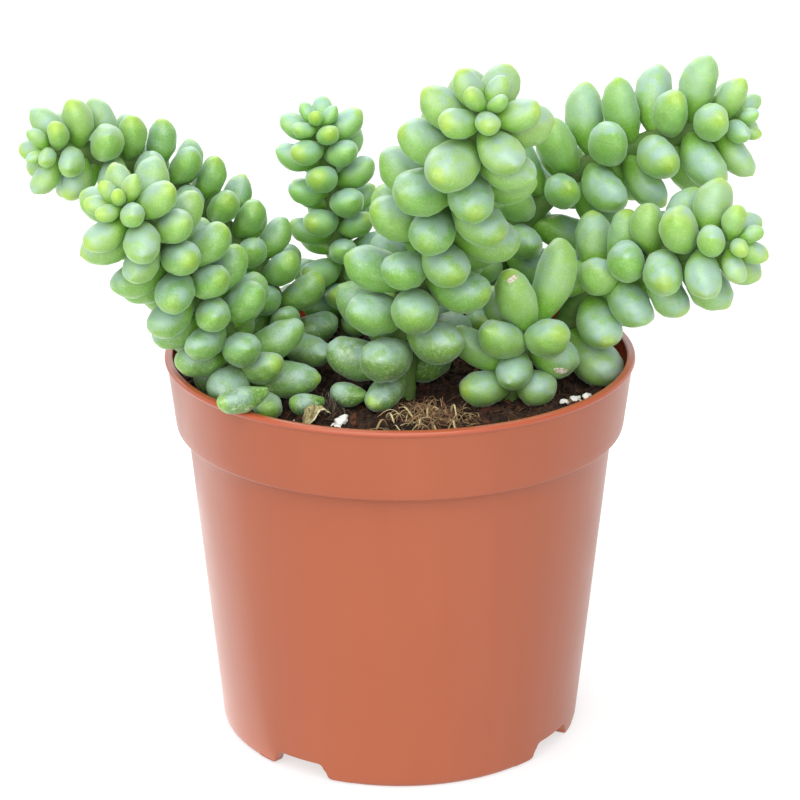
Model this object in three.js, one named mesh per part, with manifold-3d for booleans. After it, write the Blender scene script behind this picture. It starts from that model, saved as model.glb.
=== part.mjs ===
// A burros tail succulent in a 10.5 cm nursery pot.
// Millimetres, +Z up. The origin is on the pot's axis, at the level of the surface it stands on.
// The front of the plant, with its short stem, faces -Y.
import * as THREE from "three";
import { mergeVertices } from "three/addons/utils/BufferGeometryUtils.js";
import Module from "manifold-3d";

const wasm = await Module();
wasm.setup();

// ---------------------------------------------------------------- driving dimensions

const GAP = 0.3; // left between pieces that touch

// Sides of the pot and of the soil in it, the same for both so that their flats lie face to face.
const ROUND_SIDES = 32;

const POT = {
  height: 88.6,
  rimRadius: 52.5,
  rimInnerRadius: 50.6,
  beadHeight: 1.3,
  collarTopRadius: 51.95,
  collarBottomRadius: 50.2,
  collarBottomZ: 72.2,
  collarEdge: 0.4, // the bevel at its lower edge
  bodyTopRadius: 47.8,
  footRadius: 40.94,
  wall: 1.2,
  soleWidth: 2.4,
  soleRound: 1.4,
  plateBottomZ: 4.6,
  plateThickness: 1.2,
  plateFlare: 0.6, // how much wider the recess under the plate is at its foot
  lipRound: 0.5,
};

const NOTCH = {
  count: 4,
  firstDegrees: -33, // from the front, towards +X
  height: 3.9,
  topHalfWidth: 5.9,
  bottomHalfWidth: 7.2,
  cornerRadius: 1.2,
  cornerSlant: 0.25, // how far the leaning sides move over one corner
  stepHalfWidth: 12.6, // the foot's ends stand this much clear of the surface
  stepHeight: 0.45,
};

const DRAIN = { count: 8, radius: 2.6, ringRadius: 27, sides: 6 };

const SOIL = {
  topZ: 81,
  rings: 6,
  relief: 0.8,
};
const HOLE_TOP = SOIL.topZ + 6; // the cut for a stem's hole reaches this height
const GRAIN_HOLLOW = 0.78; // how much wider the hollow under a perlite grain is than the grain

// Each stem: points from its foot in the soil to its tip, its full-size leaves, the rise from one
// leaf to the next along the stem, the turn of its first leaf, which way the leaves wind, and the
// radius of the stem itself. bareLength is the stretch from the foot that carries no spiral leaves.
const STEMS = [
  {
    name: "stem_left_front",
    points: [
      [-33.5, -12, 72],
      [-37.5, -14, 96],
      [-44.5, -18, 107.5],
      [-51, -25, 121],
      [-58.5, -35, 133],
    ],
    leafLength: 13.2,
    leafWidth: 7.9,
    rise: 1.4,
    phase: 1.2,
    hand: 1,
    core: 2.4,
    bareLength: 18,
  },
  {
    name: "stem_left_back",
    points: [
      [-25, 12, 72],
      [-28.5, 13, 94.5],
      [-35, 12, 107.5],
      [-44.7, 10, 119],
      [-55.3, 7, 127.5],
      [-65.5, 1, 133.3],
      [-77, -7, 136.3],
    ],
    leafLength: 12,
    leafWidth: 7.5,
    rise: 1.5,
    phase: 4.4,
    hand: -1,
    core: 2.4,
    bareLength: 0,
  },
  {
    name: "stem_back",
    points: [
      [-11.5, 31, 72],
      [-13, 27, 96],
      [-14.5, 25, 106],
      [-15, 24, 116],
      [-17, 22, 127],
      [-18.8, 19, 136.5],
    ],
    leafLength: 11,
    leafWidth: 6.9,
    rise: 1.42,
    phase: 6,
    hand: -1,
    core: 2,
    bareLength: 0,
  },
  {
    name: "stem_centre",
    points: [
      [0, -9, 72],
      [1.3, -10, 94],
      [4.3, -13, 106.6],
      [7, -17, 119.3],
      [11.5, -23, 132],
      [15.5, -31, 143.2],
      [17.8, -39, 154.6],
    ],
    leafLength: 15.6,
    leafWidth: 9.8,
    rise: 1.75,
    phase: 0.8,
    hand: -1,
    core: 3,
    bareLength: 0,
  },
  {
    name: "stem_right_back",
    points: [
      [16, 26, 72],
      [19.5, 25, 91.7],
      [23, 24, 103],
      [31.8, 23, 115.2],
      [42.9, 21, 125.2],
      [56, 19, 131],
      [67, 17, 135],
      [76, 15, 137],
    ],
    leafLength: 15.6,
    leafWidth: 9.2,
    rise: 1.8,
    phase: 5.6,
    hand: 1,
    core: 2.6,
    bareLength: 0,
  },
  {
    name: "stem_right_front",
    points: [
      [35.5, 7, 72],
      [37.5, 5, 92.5],
      [45, 2, 104],
      [55, -3, 110],
      [65, -9, 115],
      [73.5, -15, 118],
    ],
    leafLength: 13.8,
    leafWidth: 9.1,
    rise: 1.75,
    phase: 3.8,
    hand: 1,
    core: 2.8,
    bareLength: 27,
  },
  {
    name: "stem_short",
    points: [[23.5, -10, 72], [25.5, -10, 88], [28.5, -9, 94.5], [30.5, -8, 98.5]],
    core: 2.3,
    bareLength: Infinity,
  },
];

// Leaves that don't follow their stem's spiral, each by the height of its root on the stem, its
// tip and its width.
const SINGLE_LEAVES = [
  { on: "stem_short", rootZ: 96.4, tip: [33.6, -10.5, 117], width: 9.8 },
  { on: "stem_short", rootZ: 94.8, tip: [24.5, -15, 113], width: 9.1 },
  { on: "stem_short", rootZ: 94, tip: [21, -8, 106.5], width: 8.1 },
  { on: "stem_short", rootZ: 92.5, tip: [20, -22, 100], width: 9.1 },
  { on: "stem_short", rootZ: 94.4, tip: [31.5, -22, 101], width: 9.5 },
  { on: "stem_short", rootZ: 87, tip: [11, -14, 95.5], width: 8.1 },
  { on: "stem_short", rootZ: 91.5, tip: [24, -17, 82], width: 8 },
  { on: "stem_short", rootZ: 84.5, tip: [15, -20, 84], width: 8.7 },
  { on: "stem_short", rootZ: 86, tip: [32.5, -17, 82.5], width: 8.9 },
  { on: "stem_short", rootZ: 93.5, tip: [35.5, -14, 85], width: 10 },
  { on: "stem_right_front", rootZ: 100.5, tip: [47.5, -8, 92], width: 10 },
  { on: "stem_right_front", rootZ: 104.5, tip: [48.5, -9.5, 108.5], width: 9.2 },
  { on: "stem_right_front", rootZ: 103, tip: [44.5, 5, 119], width: 8.6 },
  { on: "stem_right_front", rootZ: 106, tip: [50.5, 2, 121], width: 8.8 },
  { on: "stem_right_front", rootZ: 91.5, tip: [51, -4, 86], width: 11 },
  { on: "stem_left_front", rootZ: 87, tip: [-18.5, -17, 91.5], width: 9.1 },
  { on: "stem_left_front", rootZ: 88, tip: [-25.5, -22.5, 94], width: 7.8 },
  { on: "stem_left_front", rootZ: 91, tip: [-21.3, -15, 98.5], width: 8.5 },
  { on: "stem_left_front", rootZ: 86.5, tip: [-45.5, -12, 87.5], width: 8.5 },
  { on: "stem_left_front", rootZ: 88, tip: [-36.5, -26.5, 90.5], width: 9.3 },
  { on: "stem_centre", rootZ: 87, tip: [-3.6, -25, 84], width: 7.2 },
  { on: "stem_left_back", rootZ: 87, tip: [-17, -6, 90.5], width: 8.1 },
];

// Leaves that have dropped off and lie on the soil, or over the rim.
const FALLEN_LEAVES = [
  { name: "fallen_leaf_over_rim", root: [-29.6, -38.9, 92.2], tip: [-39.4, -45, 91.4], width: 6 },
  { name: "fallen_leaf_left", root: [-29.3, -18.5, 84.4], tip: [-28.1, -28.8, 84.4], width: 6.4 },
  { name: "fallen_leaf_front", root: [-16.6, -21, 84], tip: [-23.8, -23.6, 84.2], width: 5.6 },
  { name: "fallen_leaf_middle", root: [-7.4, -18.9, 84.3], tip: [-15, -15, 84.3], width: 6 },
];

// One dried, curled leaf on the soil: a scoop between its ends, open downwards.
const DRY_LEAF = {
  start: [-20.4, -30.2, 82.2],
  end: [-15.6, -25.6, 83.3],
  height: 3,
  halfWidth: 2.9,
  curl: 62, // degrees of arc to each side of its spine
  endWidth: 0.35, // at its ends, over its greatest width
  thickness: 0.7,
  rings: 5,
  edgePoints: 5,
};

// White perlite grains half sunk in the soil: the middle, the three widths and the turn in degrees.
const PERLITE = [
  { at: [-12.9, -26.3], size: [3, 2.8, 2.7], turn: 20 },
  { at: [-12.2, -22.2], size: [2.6, 1.7, 1.4], turn: -12 },
  { at: [-13.8, -29.2], size: [3, 1.8, 1.4], turn: 10 },
  { at: [38.6, -12], size: [3, 2.4, 1.9], turn: 35 },
  { at: [35.9, -14.4], size: [2.5, 2.1, 1.8], turn: 80 },
  { at: [41.4, -10.2], size: [2.4, 2, 1.6], turn: -30 },
  { at: [45.4, 4.6], size: [2.5, 1.9, 1.6], turn: 65 },
];

const GRAIN_RISE = 0.15; // how far a grain's middle is above the soil, over its height

const GOLDEN_ANGLE = THREE.MathUtils.degToRad(137.508);

// How far a leaf leans from the stem's own direction, by its distance from the stem's tip.
// Degrees by millimetres.
const LEAN = [[0, 6], [1.5, 20], [3.5, 32], [7, 46], [12, 59], [18, 69], [30, 77], [100, 82]];
// A leaf's share of full size, by its distance from the tip over the length of a full-size leaf.
const GROWTH = [[0, 0.34], [0.1, 0.46], [0.22, 0.64], [0.42, 0.85], [0.7, 0.98], [1, 1]];
const CROWDING = 1.6; // how the rise from leaf to leaf follows their growth, as a power
const TIP_SINK = 1; // the stem's end reaches this far past its last leaf's root
const TURN_LUCK = THREE.MathUtils.degToRad(16); // the spread of a leaf's turn
const LEAN_LUCK = 16; // the spread of its lean, in degrees
const SIZE_LUCK = 0.18; // the spread of its size
const SEED = { turn: 1, lean: 31, size: 61 };
// How far leaves turn upwards, growing between these distances from the tip.
const SAG_UP = { most: 0.12, from: 4, to: 20 };
// How far out in the stem a leaf's root lies, over the stem's radius, from this distance on.
const ROOT_OUT = { most: 0.35, to: 4 };
const LOWEST_ROOT = 2.4; // above the soil
const LEAF_FLATNESS = 0.88; // thickness over width
const LEAF_SIDES = 6;
const LEAF_RINGS = [0.34, 0.78]; // places of the rings along the leaf
const WIDEST_AT = 0.56;
const NECK = 0.3; // width at the root over the greatest width
const NECK_SWELL = 0.95; // how fast the lower part swells, as a power
const DOME_POWER = 2.3; // how blunt the tip is, as a power
const FACET_GROWTH = 1.03; // makes up for the flats between the leaf's edges

// Three balls stand for a leaf while the leaves push each other aside.
const BALL_AT = [0.4, 0.63, 0.86];
const BALL_RADIUS = [0.46, 0.48, 0.34]; // over the leaf's width
const PUSH = {
  rounds: 80,
  strength: 0.4,
  stemClearance: 0.9,
  soilClearance: 0.4,
  wallClearance: 0.5,
  insideShare: 0.7,
};
const MIDDLE_AT = 0.6; // of the leaf's length
const REACH_SPARE = 4;
const SPRING = { spiral: 0.03, single: 0.15, fallen: 0.3 }; // how well leaves keep their direction

// ---------------------------------------------------------------- solids

function solidOf(geometry) {
  const bare = geometry.clone();
  bare.deleteAttribute("normal");
  bare.deleteAttribute("uv");
  const merged = mergeVertices(bare, 1e-4);
  return new wasm.Manifold(
    new wasm.Mesh({
      numProp: 3,
      vertProperties: new Float32Array(merged.attributes.position.array),
      triVerts: new Uint32Array(merged.index.array),
    }),
  );
}

function geometryOf(solid) {
  const mesh = solid.getMesh();
  const geometry = new THREE.BufferGeometry();
  geometry.setAttribute("position", new THREE.BufferAttribute(mesh.vertProperties, 3));
  geometry.setIndex(new THREE.BufferAttribute(mesh.triVerts, 1));
  const faceted = geometry.toNonIndexed();
  faceted.computeVertexNormals();
  return faceted;
}

// A closed skin over rings of points, with a fan to each end point.
function skinOf(start, rings, end) {
  const sides = rings[0].length;
  const points = [start, ...rings.flat(), end];
  const index = [];
  const at = (ring, side) => 1 + ring * sides + (side % sides);
  for (let side = 0; side < sides; side++) {
    index.push(0, at(0, side + 1), at(0, side));
    for (let ring = 0; ring + 1 < rings.length; ring++) {
      index.push(at(ring, side), at(ring, side + 1), at(ring + 1, side));
      index.push(at(ring, side + 1), at(ring + 1, side + 1), at(ring + 1, side));
    }
    index.push(at(rings.length - 1, side), at(rings.length - 1, side + 1), points.length - 1);
  }
  const geometry = new THREE.BufferGeometry().setFromPoints(points);
  geometry.setIndex(index);
  return geometry;
}

// ---------------------------------------------------------------- pot

function arc(centreX, centreY, radius, fromDegrees, toDegrees, steps) {
  return Array.from({ length: steps + 1 }, (_, i) => {
    const angle = THREE.MathUtils.degToRad(fromDegrees + ((toDegrees - fromDegrees) * i) / steps);
    return new THREE.Vector2(
      centreX + radius * Math.cos(angle),
      centreY + radius * Math.sin(angle),
    );
  });
}

// Radius of the pot's inner wall at height z.
function innerRadius(z) {
  if (z > POT.collarBottomZ) return collarRadius(z) - POT.wall;
  return bodyRadius(z) - POT.wall;
}

function bodyRadius(z) {
  return POT.footRadius + ((POT.bodyTopRadius - POT.footRadius) * z) / POT.collarBottomZ;
}

function collarRadius(z) {
  const share = (z - POT.collarBottomZ) / (POT.height - POT.beadHeight - POT.collarBottomZ);
  return POT.collarBottomRadius + (POT.collarTopRadius - POT.collarBottomRadius) * share;
}

function potProfile() {
  const { height, rimRadius, beadHeight, collarBottomZ, collarEdge, wall, lipRound } = POT;
  const plateTopZ = POT.plateBottomZ + POT.plateThickness;
  const round = POT.soleRound;
  const bead = beadHeight / 2;
  const v = (x, y) => new THREE.Vector2(x, y);
  return [
    v(0, POT.plateBottomZ),
    v(POT.footRadius - POT.soleWidth - POT.plateFlare, POT.plateBottomZ),
    v(POT.footRadius - POT.soleWidth, 0),
    ...arc(POT.footRadius - round, round, round, -90, -8, 2),
    v(bodyRadius(collarBottomZ), collarBottomZ),
    v(collarRadius(collarBottomZ) - collarEdge, collarBottomZ),
    v(collarRadius(collarBottomZ + collarEdge), collarBottomZ + collarEdge),
    v(collarRadius(height - beadHeight), height - beadHeight),
    ...arc(rimRadius - bead, height - bead, bead, -60, 90, 2),
    ...arc(POT.rimInnerRadius + lipRound, height - lipRound, lipRound, 90, 180, 1),
    v(innerRadius(collarBottomZ + wall), collarBottomZ + wall),
    v(innerRadius(collarBottomZ - wall), collarBottomZ - wall),
    v(bodyRadius(plateTopZ) - wall, plateTopZ),
    v(0, plateTopZ),
  ];
}

function lathed(profile, segments) {
  const geometry = new THREE.LatheGeometry(profile, segments);
  geometry.rotateX(Math.PI / 2); // the lathe's axis, +Y, becomes +Z
  return solidOf(geometry);
}

// The cutter of one notch: its outline in the plane of the wall, pushed through the wall.
function notchCutter(angle) {
  const { height, topHalfWidth, bottomHalfWidth, cornerRadius, stepHalfWidth, stepHeight } = NOTCH;
  const slant = NOTCH.cornerSlant;
  const below = -1;
  const half = [
    [stepHalfWidth, below],
    [stepHalfWidth, stepHeight],
    [bottomHalfWidth + cornerRadius, stepHeight],
    [bottomHalfWidth - slant, stepHeight + cornerRadius],
    [topHalfWidth + slant, height - cornerRadius],
    [topHalfWidth - cornerRadius, height],
  ];
  const outline = [...half, ...half.map(([x, z]) => [-x, z]).reverse()];
  const reach = 10;
  const cutter = new THREE.ExtrudeGeometry(
    new THREE.Shape(outline.map(([x, z]) => new THREE.Vector2(x, z))),
    { depth: reach, bevelEnabled: false },
  );
  cutter.rotateX(Math.PI / 2); // outline upright, pushed towards -Y
  cutter.translate(0, -(POT.footRadius - reach / 2 - 1), 0);
  cutter.rotateZ(angle);
  return solidOf(cutter);
}

function drainCutter(angle) {
  const depth = 5 * POT.plateThickness;
  const cutter = new THREE.CylinderGeometry(DRAIN.radius, DRAIN.radius, depth, DRAIN.sides);
  cutter.rotateX(Math.PI / 2);
  cutter.translate(
    DRAIN.ringRadius * Math.sin(angle),
    -DRAIN.ringRadius * Math.cos(angle),
    POT.plateBottomZ,
  );
  return solidOf(cutter);
}

function makePot() {
  let pot = lathed(potProfile(), ROUND_SIDES);
  for (let i = 0; i < NOTCH.count; i++) {
    const turn = NOTCH.firstDegrees + (360 / NOTCH.count) * i;
    pot = pot.subtract(notchCutter(THREE.MathUtils.degToRad(turn)));
  }
  for (let i = 0; i < DRAIN.count; i++) {
    pot = pot.subtract(drainCutter(((i + 0.5) / DRAIN.count) * 2 * Math.PI));
  }
  return pot;
}

// ---------------------------------------------------------------- soil

function soilHeight(x, y) {
  const bumps =
    Math.sin(0.42 * x + 1.3 * Math.sin(0.17 * y)) * Math.cos(0.38 * y + 0.9 * Math.sin(0.21 * x));
  return SOIL.topZ + SOIL.relief * 0.5 * (bumps - 1);
}

// The fill stays a gap clear of the pot's wall, of its plate and of each stem in its hole.
function makeSoil(stems) {
  const bottomZ = POT.plateBottomZ + POT.plateThickness + GAP;
  const step = POT.collarBottomZ - POT.wall;
  const edges = [
    [innerRadius(bottomZ) - GAP, bottomZ],
    [innerRadius(step) - GAP, step],
    [innerRadius(POT.collarBottomZ + POT.wall + GAP) - GAP, POT.collarBottomZ + POT.wall + GAP],
  ];
  const rimRadius = innerRadius(SOIL.topZ - SOIL.relief) - GAP;
  const around = (radius, height) =>
    Array.from({ length: ROUND_SIDES }, (_, i) => {
      const angle = (i / ROUND_SIDES) * 2 * Math.PI;
      const x = radius * Math.cos(angle);
      const y = radius * Math.sin(angle);
      return new THREE.Vector3(x, y, height ?? soilHeight(x, y));
    });
  const rings = edges.map(([radius, z]) => around(radius, z));
  for (let i = 0; i < SOIL.rings; i++) rings.push(around(rimRadius * (1 - i / SOIL.rings)));
  const bottom = new THREE.Vector3(0, 0, bottomZ);
  const top = new THREE.Vector3(0, 0, soilHeight(0, 0));
  let soil = solidOf(skinOf(bottom, rings, top));
  for (const stem of stems) {
    const line = stem.line.filter((point) => point.z < HOLE_TOP);
    soil = soil.subtract(tube(line, () => stem.core + GAP, GAP));
  }
  for (const grain of PERLITE) soil = soil.subtract(grainSolid(grain, GRAIN_HOLLOW));
  return soil;
}

// ---------------------------------------------------------------- small pieces on the soil

// A grain of perlite, or with growth the hollow it sits in.
function grainSolid({ at, size, turn }, growth = 0) {
  const grain = new THREE.IcosahedronGeometry(0.5, 0);
  grain.scale(...size.map((width) => width + growth));
  grain.rotateZ(THREE.MathUtils.degToRad(turn));
  grain.translate(...at, soilHeight(...at) + GRAIN_RISE * size[2]);
  return solidOf(grain);
}

// Each cross-section is an arc with an outer and an inner edge, smaller towards the two ends.
function dryLeafSolid() {
  const { height, halfWidth, endWidth, thickness, rings, edgePoints } = DRY_LEAF;
  const start = new THREE.Vector3(...DRY_LEAF.start);
  const end = new THREE.Vector3(...DRY_LEAF.end);
  const along = end.clone().sub(start).normalize();
  const side = along.clone().cross(new THREE.Vector3(0, 0, 1)).normalize();
  const up = side.clone().cross(along);
  const curl = THREE.MathUtils.degToRad(DRY_LEAF.curl);
  const sections = [];
  for (let ring = 1; ring <= rings; ring++) {
    const share = ring / (rings + 1);
    const swell = Math.sin(Math.PI * share);
    const radius = halfWidth * (endWidth + (1 - endWidth) * swell);
    const centre = start.clone().lerp(end, share).addScaledVector(up, height * swell - radius);
    const arcAt = (arcRadius, direction) =>
      Array.from({ length: edgePoints }, (_, i) => {
        const angle = direction * curl * ((2 * i) / (edgePoints - 1) - 1);
        return centre
          .clone()
          .addScaledVector(up, arcRadius * Math.cos(angle))
          .addScaledVector(side, arcRadius * Math.sin(angle));
      });
    sections.push([...arcAt(radius, 1), ...arcAt(radius - thickness, -1)]);
  }
  return solidOf(skinOf(start, sections, end));
}

// ---------------------------------------------------------------- stems and leaves

const LINE_STEPS = 160; // of a stem's centre line

// The stem's centre line with, at each point, its direction and two directions across it.
function stemLine(points) {
  const curve = new THREE.CatmullRomCurve3(
    points.map((p) => new THREE.Vector3(...p)),
    false,
    "catmullrom",
    0.5,
  );
  const line = curve.getPoints(LINE_STEPS);
  const along = line.map((point, i) => {
    const before = line[Math.max(i - 1, 0)];
    const after = line[Math.min(i + 1, line.length - 1)];
    return after.clone().sub(before).normalize();
  });
  const across = [];
  const upright = [];
  let last = new THREE.Vector3(0, -1, 0);
  along.forEach((direction) => {
    last = last.clone().addScaledVector(direction, -last.dot(direction)).normalize();
    across.push(last);
    upright.push(direction.clone().cross(last));
  });
  const length = [0];
  for (let i = 1; i < line.length; i++) {
    length.push(length[i - 1] + line[i].distanceTo(line[i - 1]));
  }
  return { line, along, across, upright, length, total: length[length.length - 1] };
}

// A value of one of the stem's lists at a distance from the foot.
function valueAt(stem, list, distance) {
  const last = stem.length.length - 1;
  let i = 1;
  while (i < last && stem.length[i] < distance) i++;
  const share = (distance - stem.length[i - 1]) / (stem.length[i] - stem.length[i - 1]);
  return list[i - 1].clone().lerp(list[i], THREE.MathUtils.clamp(share, 0, 1));
}

// The value of a list of [place, value] pairs at a place between them.
function lookUp(pairs, place) {
  let i = 1;
  while (i < pairs.length - 1 && pairs[i][0] < place) i++;
  const [from, before] = pairs[i - 1];
  const [to, after] = pairs[i];
  const share = THREE.MathUtils.clamp((place - from) / (to - from), 0, 1);
  return before + (after - before) * share;
}

// A repeatable draw from 0 to 1 for leaf k.
function draw(k, seed) {
  const value = Math.sin(k * 12.9898 + seed * 78.233) * 43758.5453;
  return value - Math.floor(value);
}

const ease = (from, to, x) => THREE.MathUtils.smoothstep(x, from, to);

// Leaves wind up the stem by the golden angle, counted from its tip.
function spiralLeaves(stem, stemIndex) {
  const leaves = [];
  let fromTip = TIP_SINK;
  for (let k = 0; fromTip < stem.total - stem.bareLength; k++) {
    const at = stem.total - fromTip;
    const along = valueAt(stem, stem.along, at);
    const turnLuck = TURN_LUCK * (draw(k, stemIndex + SEED.turn) - 0.5);
    const turn = stem.phase + stem.hand * k * GOLDEN_ANGLE + turnLuck;
    const out = valueAt(stem, stem.across, at)
      .multiplyScalar(Math.cos(turn))
      .addScaledVector(valueAt(stem, stem.upright, at), Math.sin(turn));
    const lean = THREE.MathUtils.degToRad(
      lookUp(LEAN, fromTip) + LEAN_LUCK * (draw(k, stemIndex + SEED.lean) - 0.5),
    );
    const grown = lookUp(GROWTH, fromTip / stem.leafLength);
    const size = grown * (1 + SIZE_LUCK * (draw(k, stemIndex + SEED.size) - 0.5));
    const direction = along
      .clone()
      .multiplyScalar(Math.cos(lean))
      .addScaledVector(out, Math.sin(lean));
    direction.z += SAG_UP.most * ease(SAG_UP.from, SAG_UP.to, fromTip);
    const root = valueAt(stem, stem.line, at);
    root.addScaledVector(out, stem.core * ROOT_OUT.most * ease(0, ROOT_OUT.to, fromTip));
    if (root.z > SOIL.topZ + LOWEST_ROOT) {
      leaves.push({
        stem: stemIndex,
        root,
        direction: direction.normalize(),
        length: stem.leafLength * size,
        width: stem.leafWidth * size,
        along,
        spring: SPRING.spiral,
      });
    }
    fromTip += stem.rise * grown ** CROWDING;
  }
  return leaves;
}

// A leaf from a root to a tip.
function leafBetween(root, tip, width, stemIndex, spring) {
  const direction = new THREE.Vector3(...tip).sub(root);
  const length = direction.length();
  direction.normalize();
  const along = new THREE.Vector3(0, 0, 1);
  return { stem: stemIndex, root, direction, length, width, along, spring };
}

function singleLeaf(entry, stems) {
  const stemIndex = stems.findIndex((stem) => stem.name === entry.on);
  const stem = stems[stemIndex];
  const root = stem.line.find((point) => point.z >= entry.rootZ).clone();
  const towards = new THREE.Vector3(...entry.tip).sub(root).normalize();
  root.addScaledVector(towards, stem.core * ROOT_OUT.most);
  return leafBetween(root, entry.tip, entry.width, stemIndex, SPRING.single);
}

function ballsOf(leaf) {
  return BALL_AT.map((share, i) => ({
    centre: leaf.root.clone().addScaledVector(leaf.direction, leaf.length * share),
    radius: leaf.width * BALL_RADIUS[i],
  }));
}

const middleOf = (leaf) =>
  leaf.root.clone().addScaledVector(leaf.direction, leaf.length * MIDDLE_AT);

// Pairs of leaves close enough to meet.
function neighbourPairs(leaves) {
  const pairs = [];
  const middles = leaves.map(middleOf);
  const reach = leaves.map((leaf) => leaf.length * MIDDLE_AT + REACH_SPARE);
  for (let i = 0; i < leaves.length; i++) {
    for (let j = i + 1; j < leaves.length; j++) {
      if (middles[i].distanceTo(middles[j]) < reach[i] + reach[j]) pairs.push([i, j]);
    }
  }
  return pairs;
}

// How far a ball has to move to stay above the soil and clear of the pot's rim.
function potPush({ centre, radius }) {
  const push = new THREE.Vector3();
  push.z += Math.max(0, SOIL.topZ + PUSH.soilClearance + radius - centre.z);
  const fromAxis = Math.hypot(centre.x, centre.y);
  const wall = Math.max(0, fromAxis + radius + PUSH.wallClearance - POT.rimInnerRadius);
  const sink = Math.max(0, POT.height + PUSH.soilClearance + radius - centre.z);
  if (wall > 0 && sink > 0) {
    if (wall <= sink) {
      push.x -= (wall * centre.x) / fromAxis;
      push.y -= (wall * centre.y) / fromAxis;
    } else {
      push.z += sink;
    }
  }
  return push;
}

// Crowded leaves swing about their roots until they only touch.
function settle(leaves) {
  const rest = leaves.map((leaf) => leaf.direction.clone());
  const pairs = neighbourPairs(leaves);
  const levers = BALL_AT.map((at) => at / BALL_AT.reduce((sum, x) => sum + x * x, 0));
  for (let round = 0; round < PUSH.rounds; round++) {
    const balls = leaves.map(ballsOf);
    const pushes = balls.map((three) => three.map(potPush));
    for (const [i, j] of pairs) {
      const clearance = leaves[i].stem === leaves[j].stem ? 0 : PUSH.stemClearance;
      for (let a = 0; a < BALL_AT.length; a++) {
        for (let b = 0; b < BALL_AT.length; b++) {
          const apart = balls[i][a].centre.clone().sub(balls[j][b].centre);
          const distance = apart.length() + 1e-9;
          const overlap = balls[i][a].radius + balls[j][b].radius + clearance - distance;
          if (overlap <= 0) continue;
          const share = (overlap / distance) * PUSH.strength;
          pushes[i][a].addScaledVector(apart, share);
          pushes[j][b].addScaledVector(apart, -share);
        }
      }
    }
    leaves.forEach((leaf, i) => {
      const turned = leaf.direction.clone();
      pushes[i].forEach((push, a) => turned.addScaledVector(push, levers[a] / leaf.length));
      turned.addScaledVector(rest[i], leaf.spring).addScaledVector(leaf.direction, -leaf.spring);
      leaf.direction = turned.normalize();
    });
  }
}

// Of two leaves on different stems that would still cross, the later one isn't there. Nor is a
// spiral leaf that would lie inside a single leaf of its own stem.
function crossingLeaves(leaves) {
  const dropped = new Set();
  for (const [i, j] of neighbourPairs(leaves)) {
    const sameStem = leaves[i].stem === leaves[j].stem;
    if (dropped.has(i) || (sameStem && leaves[i].spring === leaves[j].spring)) continue;
    for (const one of ballsOf(leaves[i])) {
      for (const other of ballsOf(leaves[j])) {
        const touching = one.radius + other.radius;
        const least = sameStem ? touching * PUSH.insideShare : touching + PUSH.stemClearance / 2;
        if (one.centre.distanceTo(other.centre) < least) dropped.add(j);
      }
    }
  }
  return dropped;
}

// Half the leaf's width at a share of its length, over half its greatest width.
function leafOutline(share) {
  if (share < WIDEST_AT) {
    return NECK + (1 - NECK) * Math.sin(((Math.PI / 2) * share) / WIDEST_AT) ** NECK_SWELL;
  }
  return Math.sqrt(1 - ((share - WIDEST_AT) / (1 - WIDEST_AT)) ** DOME_POWER);
}

function leafSolid(leaf) {
  const side = leaf.direction.clone().cross(leaf.along);
  if (side.length() < 1e-3) side.set(1, 0, 0).cross(leaf.direction);
  side.normalize();
  const face = leaf.direction.clone().cross(side);
  const rings = LEAF_RINGS.map((share) => {
    const half = (leaf.width / 2) * leafOutline(share) * FACET_GROWTH;
    const centre = leaf.root.clone().addScaledVector(leaf.direction, leaf.length * share);
    return Array.from({ length: LEAF_SIDES }, (_, i) => {
      const angle = (i / LEAF_SIDES) * 2 * Math.PI;
      return centre
        .clone()
        .addScaledVector(side, half * Math.cos(angle))
        .addScaledVector(face, half * LEAF_FLATNESS * Math.sin(angle));
    });
  });
  const tip = leaf.root.clone().addScaledVector(leaf.direction, leaf.length);
  return solidOf(skinOf(leaf.root, rings, tip));
}

const TUBE_SIDES = 4;
const TUBE_STEP = 27; // points of the line from one ring to the next
const TAPER = { end: 0.5, length: 8 }; // the stem's radius at its tip, and how far this reaches
const FINEST = 0.05; // smaller steps in a fused stem are smoothed out

// A tube along a line of points, with a radius for each share of its length.
function tube(line, radiusAt, extra = 0) {
  const steps = Math.max(3, Math.round(line.length / TUBE_STEP));
  const rings = [];
  let across = new THREE.Vector3(0, -1, 0);
  let start;
  let end;
  for (let step = 0; step <= steps; step++) {
    const at = Math.round((step / steps) * (line.length - 1));
    const before = line[Math.max(at - 1, 0)];
    const after = line[Math.min(at + 1, line.length - 1)];
    const along = after.clone().sub(before).normalize();
    across = across.clone().addScaledVector(along, -across.dot(along)).normalize();
    const upright = along.clone().cross(across);
    const centre = line[at].clone();
    if (step === 0) centre.addScaledVector(along, -extra);
    const radius = radiusAt(step / steps);
    rings.push(
      Array.from({ length: TUBE_SIDES }, (_, i) => {
        const angle = (i / TUBE_SIDES) * 2 * Math.PI;
        return centre
          .clone()
          .addScaledVector(across, radius * Math.cos(angle))
          .addScaledVector(upright, radius * Math.sin(angle));
      }),
    );
    if (step === 0) start = centre;
    end = centre;
  }
  return solidOf(skinOf(start, rings, end));
}

function stemSolid(stem, leaves) {
  const taper = (share) => {
    const fromTip = stem.total * (1 - share);
    return stem.core * (TAPER.end + (1 - TAPER.end) * ease(0, TAPER.length, fromTip));
  };
  const parts = [tube(stem.line, taper), ...leaves.map(leafSolid)];
  return wasm.Manifold.union(parts).simplify(FINEST);
}

// ---------------------------------------------------------------- assembly

const MATERIALS = {
  pot: { color: "#c26f50", roughness: 0.38, metalness: 0 },
  soil: { color: "#2e231c", roughness: 0.95, metalness: 0 },
  leaf: { color: "#93c07c", roughness: 0.5, metalness: 0 },
  dry_leaf: { color: "#a8935f", roughness: 0.8, metalness: 0 },
  perlite: { color: "#f1eee8", roughness: 0.9, metalness: 0 },
};

const plant = new THREE.Group();

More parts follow.
